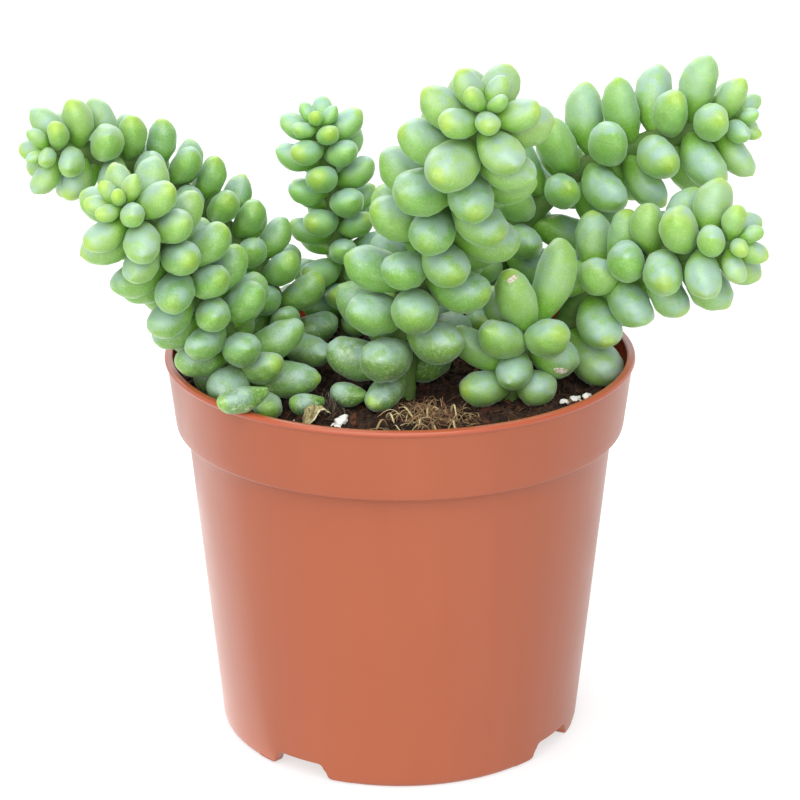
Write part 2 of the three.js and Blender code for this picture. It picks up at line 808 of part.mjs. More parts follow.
function add(name, solid, look) {
  const mesh = new THREE.Mesh(geometryOf(solid), new THREE.MeshStandardMaterial(MATERIALS[look]));
  mesh.name = name;
  plant.add(mesh);
}

const stems = STEMS.map((stem) => ({ ...stem, ...stemLine(stem.points) }));
let leaves = [
  ...FALLEN_LEAVES.map(({ root, tip, width }, i) =>
    leafBetween(new THREE.Vector3(...root), tip, width, STEMS.length + i, SPRING.fallen),
  ),
  ...SINGLE_LEAVES.map((entry) => singleLeaf(entry, stems)),
  ...stems.flatMap((stem, i) => (stem.rise ? spiralLeaves(stem, i) : [])),
];
for (let pass = 0; pass < 2; pass++) {
  settle(leaves);
  const dropped = crossingLeaves(leaves);
  leaves = leaves.filter((leaf, i) => !dropped.has(i));
}

add("pot", makePot(), "pot");
add("soil", makeSoil(stems), "soil");
stems.forEach((stem, i) => {
  add(stem.name, stemSolid(stem, leaves.filter((leaf) => leaf.stem === i)), "leaf");
});
FALLEN_LEAVES.forEach((entry, i) => {
  const own = leaves.find((leaf) => leaf.stem === STEMS.length + i);
  if (own) add(entry.name, leafSolid(own), "leaf");
});
add("dry_leaf", dryLeafSolid(), "dry_leaf");
PERLITE.forEach((grain, i) => add(`perlite_${i + 1}`, grainSolid(grain), "perlite"));

export default plant;
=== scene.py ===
"""A burros tail succulent in a 10.5 cm nursery pot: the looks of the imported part.

Shapes are worked out in millimetres in the part's frame, and written to meshes in metres.
"""
import math

import bpy
import numpy as np
from mathutils import Matrix
from mathutils.bvhtree import BVHTree


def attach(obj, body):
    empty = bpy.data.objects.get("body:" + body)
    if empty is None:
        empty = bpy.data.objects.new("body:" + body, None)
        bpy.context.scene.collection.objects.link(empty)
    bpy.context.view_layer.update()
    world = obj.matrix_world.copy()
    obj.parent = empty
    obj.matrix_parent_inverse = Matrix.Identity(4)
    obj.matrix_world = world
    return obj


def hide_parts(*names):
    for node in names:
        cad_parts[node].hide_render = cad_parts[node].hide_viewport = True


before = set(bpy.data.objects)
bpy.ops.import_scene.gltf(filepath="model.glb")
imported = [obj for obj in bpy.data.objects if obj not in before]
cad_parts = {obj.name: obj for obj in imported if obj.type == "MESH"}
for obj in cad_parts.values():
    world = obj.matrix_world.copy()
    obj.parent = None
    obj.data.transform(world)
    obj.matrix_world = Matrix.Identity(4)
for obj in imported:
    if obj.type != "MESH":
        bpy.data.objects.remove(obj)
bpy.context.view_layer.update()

MM = 0.001
TAU = 2 * math.pi
UP = (0, 0, 1.0)

# ---------------------------------------------------------------- camera

CAMERA_AT = (0.0, -587.63, 295.03)
CAMERA_PITCH = 20.417  # degrees below the horizon
CAMERA_LENS = 125.36
SENSOR = 36
FRAME = 800  # pixels each way

camera_data = bpy.data.cameras.new("camera")
camera_data.lens = CAMERA_LENS
camera_data.sensor_width = SENSOR
camera_data.clip_start = 0.05
camera_data.clip_end = 20
camera = bpy.data.objects.new("camera", camera_data)
camera.location = [c * MM for c in CAMERA_AT]
camera.rotation_euler = (math.radians(90 - CAMERA_PITCH), 0, 0)
bpy.context.scene.collection.objects.link(camera)
bpy.context.scene.camera = camera

# ---------------------------------------------------------------- the plant's layout

GAP = 0.3  # between the pot and the soil
SOIL_TOP = 81.0
SOIL_RELIEF = 0.8
RIM_INNER = 50.6
RIM_HEIGHT = 88.6

# Each stem's line from its foot to its tip; the full length and width of its leaves, the rise from
# one to the next, the first one's turn and the spiral's hand; the radius of its core, the length
# at its foot without spiral leaves, how much painted shade darkens its lower leaves and how aged
# its leaves are (0 to 1); the low ages of the back stems also paint them lighter, as painted
# light.
STEMS = [
    dict(
        name="stem_left_front",
        points=[
            (-33.5, -12, 72), (-37.5, -14, 96), (-44.5, -18, 107.5), (-51, -25, 121),
            (-58.5, -35, 133),
        ],
        length_of_leaf=13.2, width=7.9, rise=1.4, phase=1.2, hand=1,
        core=2.4, bare=18, shade=0.6, age=0.9,
    ),
    dict(
        name="stem_left_back",
        points=[
            (-25, 12, 72), (-28.5, 13, 94.5), (-35, 12, 107.5), (-44.7, 10, 119),
            (-55.3, 7, 127.5), (-65.5, 1, 133.3), (-77, -7, 136.3),
        ],
        length_of_leaf=12, width=7.5, rise=1.5, phase=4.4, hand=-1,
        core=2.4, bare=0, shade=0.7, age=0.6,
    ),
    dict(
        name="stem_back",
        points=[
            (-11.5, 31, 72), (-13, 27, 96), (-14.5, 25, 106), (-15, 24, 116), (-17, 22, 127),
            (-18.8, 19, 136.5),
        ],
        length_of_leaf=11, width=6.9, rise=1.42, phase=6, hand=-1,
        core=2, bare=0, shade=0.2, age=0.3,
    ),
    dict(
        name="stem_centre",
        points=[
            (0, -9, 72), (1.3, -10, 94), (4.3, -13, 106.6), (7, -17, 119.3), (11.5, -23, 132),
            (15.5, -31, 143.2), (17.8, -39, 154.6),
        ],
        length_of_leaf=15.6, width=9.8, rise=1.75, phase=0.8, hand=-1,
        core=3, bare=0, shade=1.0, age=0.8,
    ),
    dict(
        name="stem_right_back",
        points=[
            (16, 26, 72), (19.5, 25, 91.7), (23, 24, 103), (31.8, 23, 115.2), (42.9, 21, 125.2),
            (56, 19, 131), (67, 17, 135), (76, 15, 137),
        ],
        length_of_leaf=15.6, width=9.2, rise=1.8, phase=5.6, hand=1,
        core=2.6, bare=0, shade=0.1, age=0.4,
    ),
    dict(
        name="stem_right_front",
        points=[
            (35.5, 7, 72), (37.5, 5, 92.5), (45, 2, 104), (55, -3, 110), (65, -9, 115),
            (73.5, -15, 118),
        ],
        length_of_leaf=13.8, width=9.1, rise=1.75, phase=3.8, hand=1,
        core=2.8, bare=27, shade=0.05, age=0.5,
    ),
    dict(
        name="stem_short",
        points=[
            (23.5, -10, 72), (25.5, -10, 88), (28.5, -9, 94.5), (30.5, -8, 98.5),
        ],
        length_of_leaf=0, width=0, rise=0, phase=0, hand=1,
        core=2.3, bare=0, shade=0.15, age=0.5,
    ),
]

# Leaves given one by one: the stem, the height of the root on it, the tip and the width.
SINGLE_LEAVES = [
    ("stem_short", 96.4, (33.6, -10.5, 117), 9.8),
    ("stem_short", 94.8, (24.5, -15, 113), 9.1),
    ("stem_short", 94, (21, -8, 106.5), 8.1),
    ("stem_short", 92.5, (20, -22, 100), 9.1),
    ("stem_short", 94.4, (31.5, -22, 101), 9.5),
    ("stem_short", 87, (11, -14, 95.5), 8.1),
    ("stem_short", 91.5, (24, -17, 82), 8),
    ("stem_short", 84.5, (15, -20, 84), 8.7),
    ("stem_short", 86, (32.5, -17, 82.5), 8.9),
    ("stem_short", 93.5, (35.5, -14, 85), 10),
    ("stem_right_front", 100.5, (47.5, -8, 92), 10),
    ("stem_right_front", 104.5, (48.5, -9.5, 108.5), 9.2),
    ("stem_right_front", 103, (44.5, 5, 119), 8.6),
    ("stem_right_front", 106, (50.5, 2, 121), 8.8),
    ("stem_right_front", 91.5, (51, -4, 86), 11),
    ("stem_left_front", 87, (-18.5, -17, 91.5), 9.1),
    ("stem_left_front", 88, (-25.5, -22.5, 94), 7.8),
    ("stem_left_front", 91, (-21.3, -15, 98.5), 8.5),
    ("stem_left_front", 86.5, (-45.5, -12, 87.5), 8.5),
    ("stem_left_front", 88, (-36.5, -26.5, 90.5), 9.3),
    ("stem_centre", 87, (-3.6, -25, 84), 7.2),
    ("stem_left_back", 87, (-17, -6, 90.5), 8.1),
]

# Leaves that have dropped off: the root, the tip and the width.
FALLEN_LEAVES = [
    ("fallen_leaf_over_rim", (-29.6, -38.9, 92.2), (-39.4, -45, 91.4), 6),
    ("fallen_leaf_left", (-29.3, -18.5, 84.4), (-28.1, -28.8, 84.4), 6.4),
    ("fallen_leaf_front", (-16.6, -21, 84), (-23.8, -23.6, 84.2), 5.6),
    ("fallen_leaf_middle", (-7.4, -18.9, 84.3), (-15, -15, 84.3), 6),
]

GOLDEN_ANGLE = math.radians(137.508)
LINE_STEPS = 160
# Degrees from the stem's direction, by the distance from its tip.
LEAN = [(0, 6), (1.5, 20), (3.5, 32), (7, 46), (12, 59), (18, 69), (30, 77), (100, 82)]
# Share of the full size, by the distance from the tip over the leaf's length.
GROWTH = [(0, 0.34), (0.1, 0.46), (0.22, 0.64), (0.42, 0.85), (0.7, 0.98), (1, 1)]
CROWDING = 1.6  # how strongly small leaves stand closer together
TURN_LUCK = math.radians(16)
LEAN_LUCK = 16
SIZE_LUCK = 0.18
TURN_DRAW, LEAN_DRAW, SIZE_DRAW = 1, 31, 61
RISE_OUT = 0.12  # how far leaves turn up away from the tip
RISES_OVER = (4, 20)  # distances from the tip over which they come to do so
WIDENS_OVER = (0, 4)  # and over which their roots move out to the core's side
TIP_SINK = 1.0  # from the stem's tip to the first leaf's root
ROOT_OUT = 0.35
LOWEST_ROOT = 2.4  # over the soil
# Balls along a leaf that stand for its body while the leaves settle.
BALL_AT = np.array([0.4, 0.63, 0.86])
BALL_RADIUS = np.array([0.46, 0.48, 0.34])
PUSH_ROUNDS = 80
PUSH_STRENGTH = 0.4
STEM_CLEARANCE = 0.9
SOIL_CLEARANCE = 0.4  # also over the rim
WALL_CLEARANCE = 0.5
MIDDLE_AT = 0.6
NEIGHBOUR_MARGIN = 4
INSIDE_SHARE = 0.7  # leaves of one stem may come this near, over the distance of touching
# How hard a leaf swings back to where it started.
SPRING = dict(spiral=0.03, single=0.15, fallen=0.3)
# What counts as the distance from the tip for leaves that are given one by one.
SINGLE_FROM_TIP, FALLEN_FROM_TIP = 20.0, 40.0


def draw(k, seed):
    """A repeatable draw from 0 to 1."""
    value = np.sin(k * 12.9898 + seed * 78.233) * 43758.5453
    return value - np.floor(value)


def ease(start, end, x):
    """Smoothly from 0 at the start to 1 at the end."""
    share = np.clip((np.asarray(x, float) - start) / (end - start), 0, 1)
    return share * share * (3 - 2 * share)


def unit(v):
    return v / np.linalg.norm(v, axis=-1, keepdims=True)


def stem_line(points):
    """The stem's centre line with its direction and two directions across it."""
    knots = np.asarray(points, float)
    wide = np.vstack([2 * knots[0] - knots[1], knots, 2 * knots[-1] - knots[-2]])
    spans = len(knots) - 1
    u = np.arange(LINE_STEPS + 1) / LINE_STEPS * spans
    k = np.minimum(u.astype(int), spans - 1)
    w = (u - k)[:, None]
    p0, p1, p2, p3 = wide[k], wide[k + 1], wide[k + 2], wide[k + 3]
    m1, m2 = (p2 - p0) / 2, (p3 - p1) / 2
    line = (2 * p1 - 2 * p2 + m1 + m2) * w**3 + (3 * p2 - 3 * p1 - 2 * m1 - m2) * w**2
    line = line + m1 * w + p1
    along = unit(np.gradient(line, axis=0))
    across = np.zeros_like(line)
    last = np.array([0, -1.0, 0])
    for i, direction in enumerate(along):
        last = unit(last - direction * (last @ direction))
        across[i] = last
    upright = np.cross(along, across)
    steps = np.linalg.norm(np.diff(line, axis=0), axis=1)
    length = np.concatenate([[0], np.cumsum(steps)])
    return dict(
        line=line, along=along, across=across, upright=upright, length=length, total=length[-1]
    )


def value_at(stem, key, distance):
    """One of the stem's tracks at a distance from its foot."""
    return np.array([np.interp(distance, stem["length"], stem[key][:, j]) for j in range(3)])


def look_up(pairs, place):
    """The value at a place, between the pairs of place and value."""
    places, values = zip(*pairs)
    return np.interp(place, places, values)


def spiral_leaves(stem, index):
    """Leaves wind up the stem by the golden angle, counted from its tip."""
    leaves = []
    from_tip = TIP_SINK
    k = 0
    while from_tip < stem["total"] - stem["bare"]:
        at = stem["total"] - from_tip
        along = value_at(stem, "along", at)
        luck = TURN_LUCK * (draw(k, index + TURN_DRAW) - 0.5)
        turn = stem["phase"] + stem["hand"] * k * GOLDEN_ANGLE + luck
        out = value_at(stem, "across", at) * math.cos(turn)
        out = out + value_at(stem, "upright", at) * math.sin(turn)
        luck = LEAN_LUCK * (draw(k, index + LEAN_DRAW) - 0.5)
        lean = math.radians(look_up(LEAN, from_tip) + luck)
        grown = look_up(GROWTH, from_tip / stem["length_of_leaf"])
        size = grown * (1 + SIZE_LUCK * (draw(k, index + SIZE_DRAW) - 0.5))
        direction = along * math.cos(lean) + out * math.sin(lean)
        direction[2] += RISE_OUT * ease(*RISES_OVER, from_tip)
        off = out * stem["core"] * ROOT_OUT * ease(*WIDENS_OVER, from_tip)
        root = value_at(stem, "line", at) + off
        if root[2] > SOIL_TOP + LOWEST_ROOT:
            grown_leaf = dict(root=root, direction=unit(direction), along=along, stem=index)
            grown_leaf.update(length=stem["length_of_leaf"] * size, width=stem["width"] * size)
            leaves.append(dict(grown_leaf, spring=SPRING["spiral"], from_tip=from_tip))
        from_tip += stem["rise"] * grown**CROWDING
        k += 1
    return leaves


def leaf_between(root, tip, width, index, spring, from_tip):
    direction = np.asarray(tip, float) - root
    length = np.linalg.norm(direction)
    made = dict(root=np.asarray(root, float), direction=direction / length, along=np.array(UP))
    return dict(made, stem=index, length=length, width=width, spring=spring, from_tip=from_tip)


def single_leaf(name, root_z, tip, width, stems):
    index = [stem["name"] for stem in stems].index(name)
    stem = stems[index]
    root = stem["line"][np.argmax(stem["line"][:, 2] >= root_z)]
    towards = unit(np.asarray(tip, float) - root)
    root = root + towards * stem["core"] * ROOT_OUT
    return leaf_between(root, tip, width, index, SPRING["single"], SINGLE_FROM_TIP)


def column(leaves, key):
    """One value of every leaf."""
    return np.array([leaf[key] for leaf in leaves])


def neighbour_pairs(leaves):
    """The pairs of leaves that are near enough to touch."""
    length = column(leaves, "length")
    middle = column(leaves, "root") + column(leaves, "direction") * (length * MIDDLE_AT)[:, None]
    reach = length * MIDDLE_AT + NEIGHBOUR_MARGIN
    apart = np.linalg.norm(middle[:, None] - middle[None], axis=-1)
    i, j = np.nonzero(apart < reach[:, None] + reach[None])
    return i[i < j], j[i < j]


def settle(leaves):
    """Crowded leaves swing about their roots until they only touch."""
    root = column(leaves, "root")
    rest = column(leaves, "direction")
    direction = rest.copy()
    length, width = column(leaves, "length"), column(leaves, "width")
    stem = column(leaves, "stem")
    spring = column(leaves, "spring")[:, None]
    count = len(leaves)
    i, j = neighbour_pairs(leaves)
    a, b = (grid.ravel() for grid in np.meshgrid(np.arange(3), np.arange(3), indexing="ij"))
    one = (i[:, None] * 3 + a[None]).ravel()
    other = (j[:, None] * 3 + b[None]).ravel()
    radius = (width[:, None] * BALL_RADIUS[None]).ravel()
    clearance = np.where(stem[one // 3] != stem[other // 3], STEM_CLEARANCE, 0.0)
    least = radius[one] + radius[other] + clearance
    lever = BALL_AT / (BALL_AT**2).sum()
    for _ in range(PUSH_ROUNDS):
        ball = root[:, None] + direction[:, None] * (length[:, None] * BALL_AT[None])[..., None]
        ball = ball.reshape(-1, 3)
        push = np.zeros((3 * count, 3))
        push[:, 2] += np.clip(SOIL_TOP + SOIL_CLEARANCE + radius - ball[:, 2], 0, None)
        from_axis = np.hypot(ball[:, 0], ball[:, 1])
        wall = np.clip(from_axis + radius + WALL_CLEARANCE - RIM_INNER, 0, None)
        sink = np.clip(RIM_HEIGHT + SOIL_CLEARANCE + radius - ball[:, 2], 0, None)
        hit = (wall > 0) & (sink > 0)
        inward = hit & (wall <= sink)
        push[:, 0] -= np.where(inward, wall * ball[:, 0] / from_axis, 0)
        push[:, 1] -= np.where(inward, wall * ball[:, 1] / from_axis, 0)
        push[:, 2] += np.where(hit & ~inward, sink, 0)
        apart = ball[one] - ball[other]
        distance = np.sqrt((apart**2).sum(-1)) + 1e-9
        over = least - distance
        share = np.where(over > 0, over / distance * PUSH_STRENGTH, 0.0)
        for k in range(3):
            push[:, k] += np.bincount(one, apart[:, k] * share, 3 * count)
            push[:, k] -= np.bincount(other, apart[:, k] * share, 3 * count)
        swing = (push.reshape(count, 3, 3) * lever[None, :, None]).sum(1) / length[:, None]
        direction = unit(direction + swing + spring * (rest - direction))
    for leaf, final in zip(leaves, direction):
        leaf["direction"] = final


def crossing_leaves(leaves):
    """Of two leaves that would still cross, the later one isn't there."""
    root, direction = column(leaves, "root"), column(leaves, "direction")
    length, width = column(leaves, "length"), column(leaves, "width")
    stem, spring = column(leaves, "stem"), column(leaves, "spring")
    i, j = neighbour_pairs(leaves)
    ball = root[:, None] + direction[:, None] * (length[:, None] * BALL_AT[None])[..., None]
    radius = width[:, None] * BALL_RADIUS[None]
    distance = np.linalg.norm(ball[i][:, :, None] - ball[j][:, None], axis=-1)
    same = stem[i] == stem[j]
    touching = radius[i][:, :, None] + radius[j][:, None]
    least = np.where(same[:, None, None], touching * INSIDE_SHARE, touching + STEM_CLEARANCE / 2)
    hit = (distance < least).any((1, 2)) & ~(same & (spring[i] == spring[j]))
    dropped = set()
    for one, other, crossed in zip(i, j, hit):
        if crossed and one not in dropped:
            dropped.add(other)
    return dropped


def lay_out():
    """The stems with their lines, and every leaf that the plant keeps."""
    stems = [{**stem, **stem_line(stem["points"])} for stem in STEMS]
    leaves = [
        leaf_between(root, tip, width, len(STEMS) + i, SPRING["fallen"], FALLEN_FROM_TIP)
        for i, (_, root, tip, width) in enumerate(FALLEN_LEAVES)
    ]
    leaves += [single_leaf(*entry, stems) for entry in SINGLE_LEAVES]
    for i, stem in enumerate(stems):
        if stem["rise"]:
            leaves += spiral_leaves(stem, i)
    for _ in range(2):
        settle(leaves)
        dropped = crossing_leaves(leaves)
        leaves = [leaf for i, leaf in enumerate(leaves) if i not in dropped]
    return stems, leaves


# ---------------------------------------------------------------- mesh helpers


def new_object(name, points, quads=(), triangles=(), smooth=True, tints=None, slots=None):
    """A mesh object from points in millimetres. tints is a dict of name to RGBA per point."""
    quads = np.asarray(quads, np.int32).reshape(-1, 4)
    triangles = np.asarray(triangles, np.int32).reshape(-1, 3)
    mesh = bpy.data.meshes.new(name)
    mesh.vertices.add(len(points))
    mesh.vertices.foreach_set("co", (np.asarray(points) * MM).astype(np.float32).ravel())
    corners = np.concatenate([quads.ravel(), triangles.ravel()]).astype(np.int32)
    starts = np.concatenate(
        [np.arange(len(quads)) * 4, len(quads) * 4 + np.arange(len(triangles)) * 3]
    ).astype(np.int32)
    mesh.loops.add(len(corners))
    mesh.loops.foreach_set("vertex_index", corners)
    mesh.polygons.add(len(starts))
    mesh.polygons.foreach_set("loop_start", starts)
    mesh.polygons.foreach_set("use_smooth", np.full(len(starts), smooth))
    if slots is not None:
        mesh.polygons.foreach_set("material_index", np.asarray(slots, np.int32))
    for key, values in (tints or {}).items():
        layer = mesh.attributes.new(key, "FLOAT_COLOR", "POINT")
        layer.data.foreach_set("color", np.asarray(values, np.float32).ravel())
    mesh.update(calc_edges=True)
    mesh.validate()
    made = bpy.data.objects.new(name, mesh)
    bpy.context.scene.collection.objects.link(made)
    return made


def grid_quads(rings, sides):
    """Quads between rings of points, facing out where the rings turn left along the way up."""
    i, j = np.meshgrid(np.arange(rings - 1), np.arange(sides), indexing="ij")
    i, j = i.ravel(), j.ravel()
    k = (j + 1) % sides
    return np.stack([i * sides + j, i * sides + k, (i + 1) * sides + k, (i + 1) * sides + j], 1)


def fan(centre, ring, reverse=False):
    """Triangles from one point to a ring of points."""
    after = np.roll(ring, -1)
    middle = np.full(len(ring), centre)
    return np.stack([middle, after, ring] if reverse else [middle, ring, after], 1)


def end_fans(rings, sides):
    """Closes a grid of rings with fans to the two points that come after the grid's own."""
    ring, last = np.arange(sides), rings * sides
    return np.concatenate([fan(last, ring, reverse=True), fan(last + 1, last - sides + ring)])


def linear(r, g, b):
    """A linear colour from the 0 to 255 values of the screen."""
    values = np.array([r, g, b]) / 255
    values = np.where(values <= 0.04045, values / 12.92, ((values + 0.055) / 1.055) ** 2.4)
    return tuple(float(v) for v in values) + (1.0,)


# ---------------------------------------------------------------- leaves

WIDEST_AT = 0.56
NECK = 0.3
LOWER_RINGS = [0, 0.04, 0.09, 0.15, 0.21, 0.27, 0.33, 0.39, 0.45, 0.5]
DOME_STEPS = 12
LEAF_SIDES = 22
DOME_POWER = 2.3
# Balls along a leaf that stand for its body where a neighbour presses on it.
PRESS_AT = np.array([0.26, 0.4, 0.52, 0.62, 0.7, 0.77])
PRESS_SOFTNESS = 0.11
PRESS_LIMIT = 0.7  # of half the leaf's width
HELD_AT_ROOT = (0.15, 0.42)  # the places along a leaf between which it comes to give way fully
UNEVENNESS = 0.018
TINT_REACH = 16  # millimetres from a leaf's tip that its look tint spans
AGES_OVER = (4, 34)  # distances from the stem's tip between which leaves grow old
SHADE_FADES = (30, 2)  # heights over the soil between which the shade deepens
DOME = (0.41, 0.08, 0.06)  # the tip's bluntness: least, by a draw, by youth
DEPTH = (0.89, 0.07)  # a leaf's depth over its width: the mean, and the outer side's share
NIB = (0.005, 0.03)  # the pointed end's length over the leaf's: least, by a draw
NIB_WIDTH = 0.3
BEND = 0.03
DOME_DRAW, NIB_DRAW, BEND_DRAW, SKIN_DRAW, CHANCE_DRAW, TONE_DRAW = 5, 9, 13, 17, 21, 25


def outline(t, power):
    """Half the leaf's width at a share of its length, over half its greatest width."""
    lower = NECK + (1 - NECK) * np.sin(math.pi / 2 * np.clip(t / WIDEST_AT, 0, 1)) ** 0.95
    upper = np.clip((t - WIDEST_AT) / (1 - WIDEST_AT), 0, 1)
    return np.where(t < WIDEST_AT, lower, (1 - upper**DOME_POWER) ** power)


def leaf_frames(leaves):
    """Each leaf's directions across it: sideways, and away from the stem's tip."""
    direction = column(leaves, "direction")
    side = np.cross(direction, column(leaves, "along"))
    flat = np.linalg.norm(side, axis=1) < 1e-3
    side[flat] = np.cross([1.0, 0, 0], direction[flat])
    side = unit(side)
    return side, np.cross(direction, side)


def press_balls(leaves):
    """The middles and radii of the balls that stand for each leaf's body."""
    length, half = column(leaves, "length"), column(leaves, "width") / 2
    reach = np.minimum(
        outline(PRESS_AT, 0.5)[None] * half[:, None] * 0.93,
        (1 - PRESS_AT)[None] * length[:, None] * 1.04,
    )
    centres = column(leaves, "root")[:, None] + column(leaves, "direction")[:, None] * (
        length[:, None] * PRESS_AT[None]
    )[..., None]
    return centres, reach


def leaf_surface(leaves):
    """Every leaf's points, pressed against its neighbours', and its tints.

    look: distance from the tip, age, a draw and a tone. The second tint: place along the leaf, how
    far it faces up, how much painted shade darkens it, and a place for its stem's paleness, which
    is partly painted light.
    """
    count = len(leaves)
    index = np.arange(count)
    length, half = column(leaves, "length"), column(leaves, "width") / 2
    root, direction = column(leaves, "root"), column(leaves, "direction")
    side, face = leaf_frames(leaves)
    own_age = np.array([stem["age"] for stem in STEMS] + [1.0] * len(FALLEN_LEAVES))
    own_shade = np.array([stem["shade"] for stem in STEMS] + [1.0] * len(FALLEN_LEAVES))
    stem_number = column(leaves, "stem")
    age = ease(*AGES_OVER, column(leaves, "from_tip")) * own_age[stem_number]
    power = DOME[0] + DOME[1] * draw(index, DOME_DRAW) + DOME[2] * (1 - age)
    dome = np.sin(np.linspace(0, math.pi / 2, DOME_STEPS + 1)[:-1]) ** (2 / DOME_POWER)
    t = np.concatenate([LOWER_RINGS, WIDEST_AT + (1 - WIDEST_AT) * dome])
    widths = outline(t[None], power[:, None]) * half[:, None]
    turn = np.arange(LEAF_SIDES) / LEAF_SIDES * TAU
    # The side towards the stem's tip is flatter than the outer side.
    across = np.cos(turn)
    outward = np.sin(turn) * (DEPTH[0] + DEPTH[1] * np.sin(turn))
    nib = NIB[0] + NIB[1] * draw(index, NIB_DRAW)
    pointed = np.exp(-((widths / half[:, None] / NIB_WIDTH) ** 2)) * (t > WIDEST_AT)
    share = t[None] + nib[:, None] * pointed
    bend = BEND * (1 + draw(index, BEND_DRAW))
    belly = (bend[:, None] * 4 * t * (1 - t)) * length[:, None]
    spine = root[:, None] + direction[:, None] * (length[:, None] * share)[..., None]
    spine = spine + face[:, None] * belly[..., None]
    points = (
        spine[:, :, None]
        + side[:, None, None] * (widths[:, :, None] * across)[..., None]
        + face[:, None, None] * (widths[:, :, None] * outward)[..., None]
    ).reshape(count, -1, 3)
    foot = root - direction * (length * 0.02)[:, None]
    tip = root + direction * (length * (1 + nib))[:, None]
    points = np.concatenate([points, foot[:, None], tip[:, None]], 1)
    place = np.concatenate([np.repeat(t, LEAF_SIDES), [0, 1]])

    # A slow unevenness of the skin.
    grow = ease(0.1, 0.4, place)[None, :, None]
    phase = draw(index, SKIN_DRAW)[:, None] * TAU
    x, y, z = points[..., 0], points[..., 1], points[..., 2]
    uneven = np.sin(0.9 * x + 0.6 * z + phase) * np.sin(0.8 * y - 0.7 * z + 2 * phase)
    uneven = uneven + 0.6 * np.sin(1.5 * z + 1.1 * y + 3 * phase) * np.sin(1.3 * x + phase)
    along = ((points - root[:, None]) * direction[:, None]).sum(-1, keepdims=True)
    outwards = unit(points - (root[:, None] + direction[:, None] * along) + 1e-6)
    points = points + outwards * uneven[..., None] * grow * UNEVENNESS * (2 * half)[:, None, None]

    # Each leaf gives way by half where two press on each other.
    balls, reach = press_balls(leaves)
    i, j = neighbour_pairs(leaves)
    moved = np.zeros_like(points)
    for one, other in np.concatenate([np.stack([i, j], 1), np.stack([j, i], 1)]):
        apart = points[one][:, None] - balls[other][None]
        distance = np.linalg.norm(apart, axis=-1)
        depth = reach[other][None] - distance
        deepest = depth.argmax(1)
        rows = np.arange(len(deepest))
        depth = depth[rows, deepest]
        if depth.max() < -4 * PRESS_SOFTNESS:
            continue
        away = apart[rows, deepest] / (distance[rows, deepest, None] + 1e-9)
        give = PRESS_SOFTNESS * np.log1p(np.exp(np.clip(depth / PRESS_SOFTNESS, -20, 40)))
        moved[one] += away * (0.5 * give)[:, None]
    size = np.linalg.norm(moved, axis=-1, keepdims=True)
    limit = PRESS_LIMIT * half[:, None, None]
    held = ease(*HELD_AT_ROOT, place)[None, :, None]
    moved *= held * limit * np.tanh(size / limit) / (size + 1e-9)
    points = points + moved

    from_tip = np.linalg.norm(points - tip[:, None], axis=-1)
    ones = np.ones_like(from_tip)
    chance, tone = draw(index, CHANCE_DRAW)[:, None], draw(index, TONE_DRAW)[:, None]
    look = [np.clip(from_tip / TINT_REACH, 0, 1), ones * age[:, None], ones * chance, ones * tone]
    upward = 0.5 + 0.5 * outwards[..., 2]
    # How much painted shade darkens each point: more near the soil and on the stems set as shaded.
    low = ease(*SHADE_FADES, points[..., 2] - SOIL_TOP) * own_shade[stem_number][:, None]
    place_and_light = np.stack([np.broadcast_to(place, ones.shape), upward, low, ones], -1)
    return points, np.stack(look, -1), place_and_light


CORE_RINGS, CORE_SIDES = 110, 20


def core_surface(stem):
    """The stem itself, from its foot in the soil to just under its youngest leaves."""
    at = np.linspace(0, stem["total"] - 0.8, CORE_RINGS)
    line = np.stack([value_at(stem, "line", a) for a in at])
    across = unit(np.stack([value_at(stem, "across", a) for a in at]))
    along = unit(np.stack([value_at(stem, "along", a) for a in at]))
    upright = np.cross(along, across)
    radius = stem["core"] * (0.45 + 0.55 * ease(0, 8, stem["total"] - at))
    turn = np.arange(CORE_SIDES) / CORE_SIDES * TAU
    knots = np.sin(at[:, None] * 1.9 + 2 * turn[None]) * np.sin(at[:, None] * 0.8 - 3 * turn[None])
    radius = radius[:, None] * (1 + 0.06 * knots)
    points = (
        line[:, None]
        + across[:, None] * (radius * np.cos(turn))[..., None]
        + upright[:, None] * (radius * np.sin(turn))[..., None]
    ).reshape(-1, 3)
    points = np.concatenate([points, line[:1], line[-1:] + along[-1:] * 0.3])
    return points, grid_quads(CORE_RINGS, CORE_SIDES), end_fans(CORE_RINGS, CORE_SIDES)


stems, leaves = lay_out()
leaf_points, leaf_tints, leaf_place_and_light = leaf_surface(leaves)
leaf_rings = len(LOWER_RINGS) + DOME_STEPS
leaf_quads, leaf_ends = grid_quads(leaf_rings, LEAF_SIDES), end_fans(leaf_rings, LEAF_SIDES)

# The paleness is partly the stems' own tint and partly painted light, most on the back stems.
PALENESS_AND_LIGHT = {  # how washed out the leaves of a stem are
    "stem_left_back_leaves": 0.15,
    "stem_back_leaves": 1.0,
    "stem_right_back_leaves": 0.5,
    "stem_short_leaves": 0.3,
    "stem_right_front_leaves": 0.2,
}


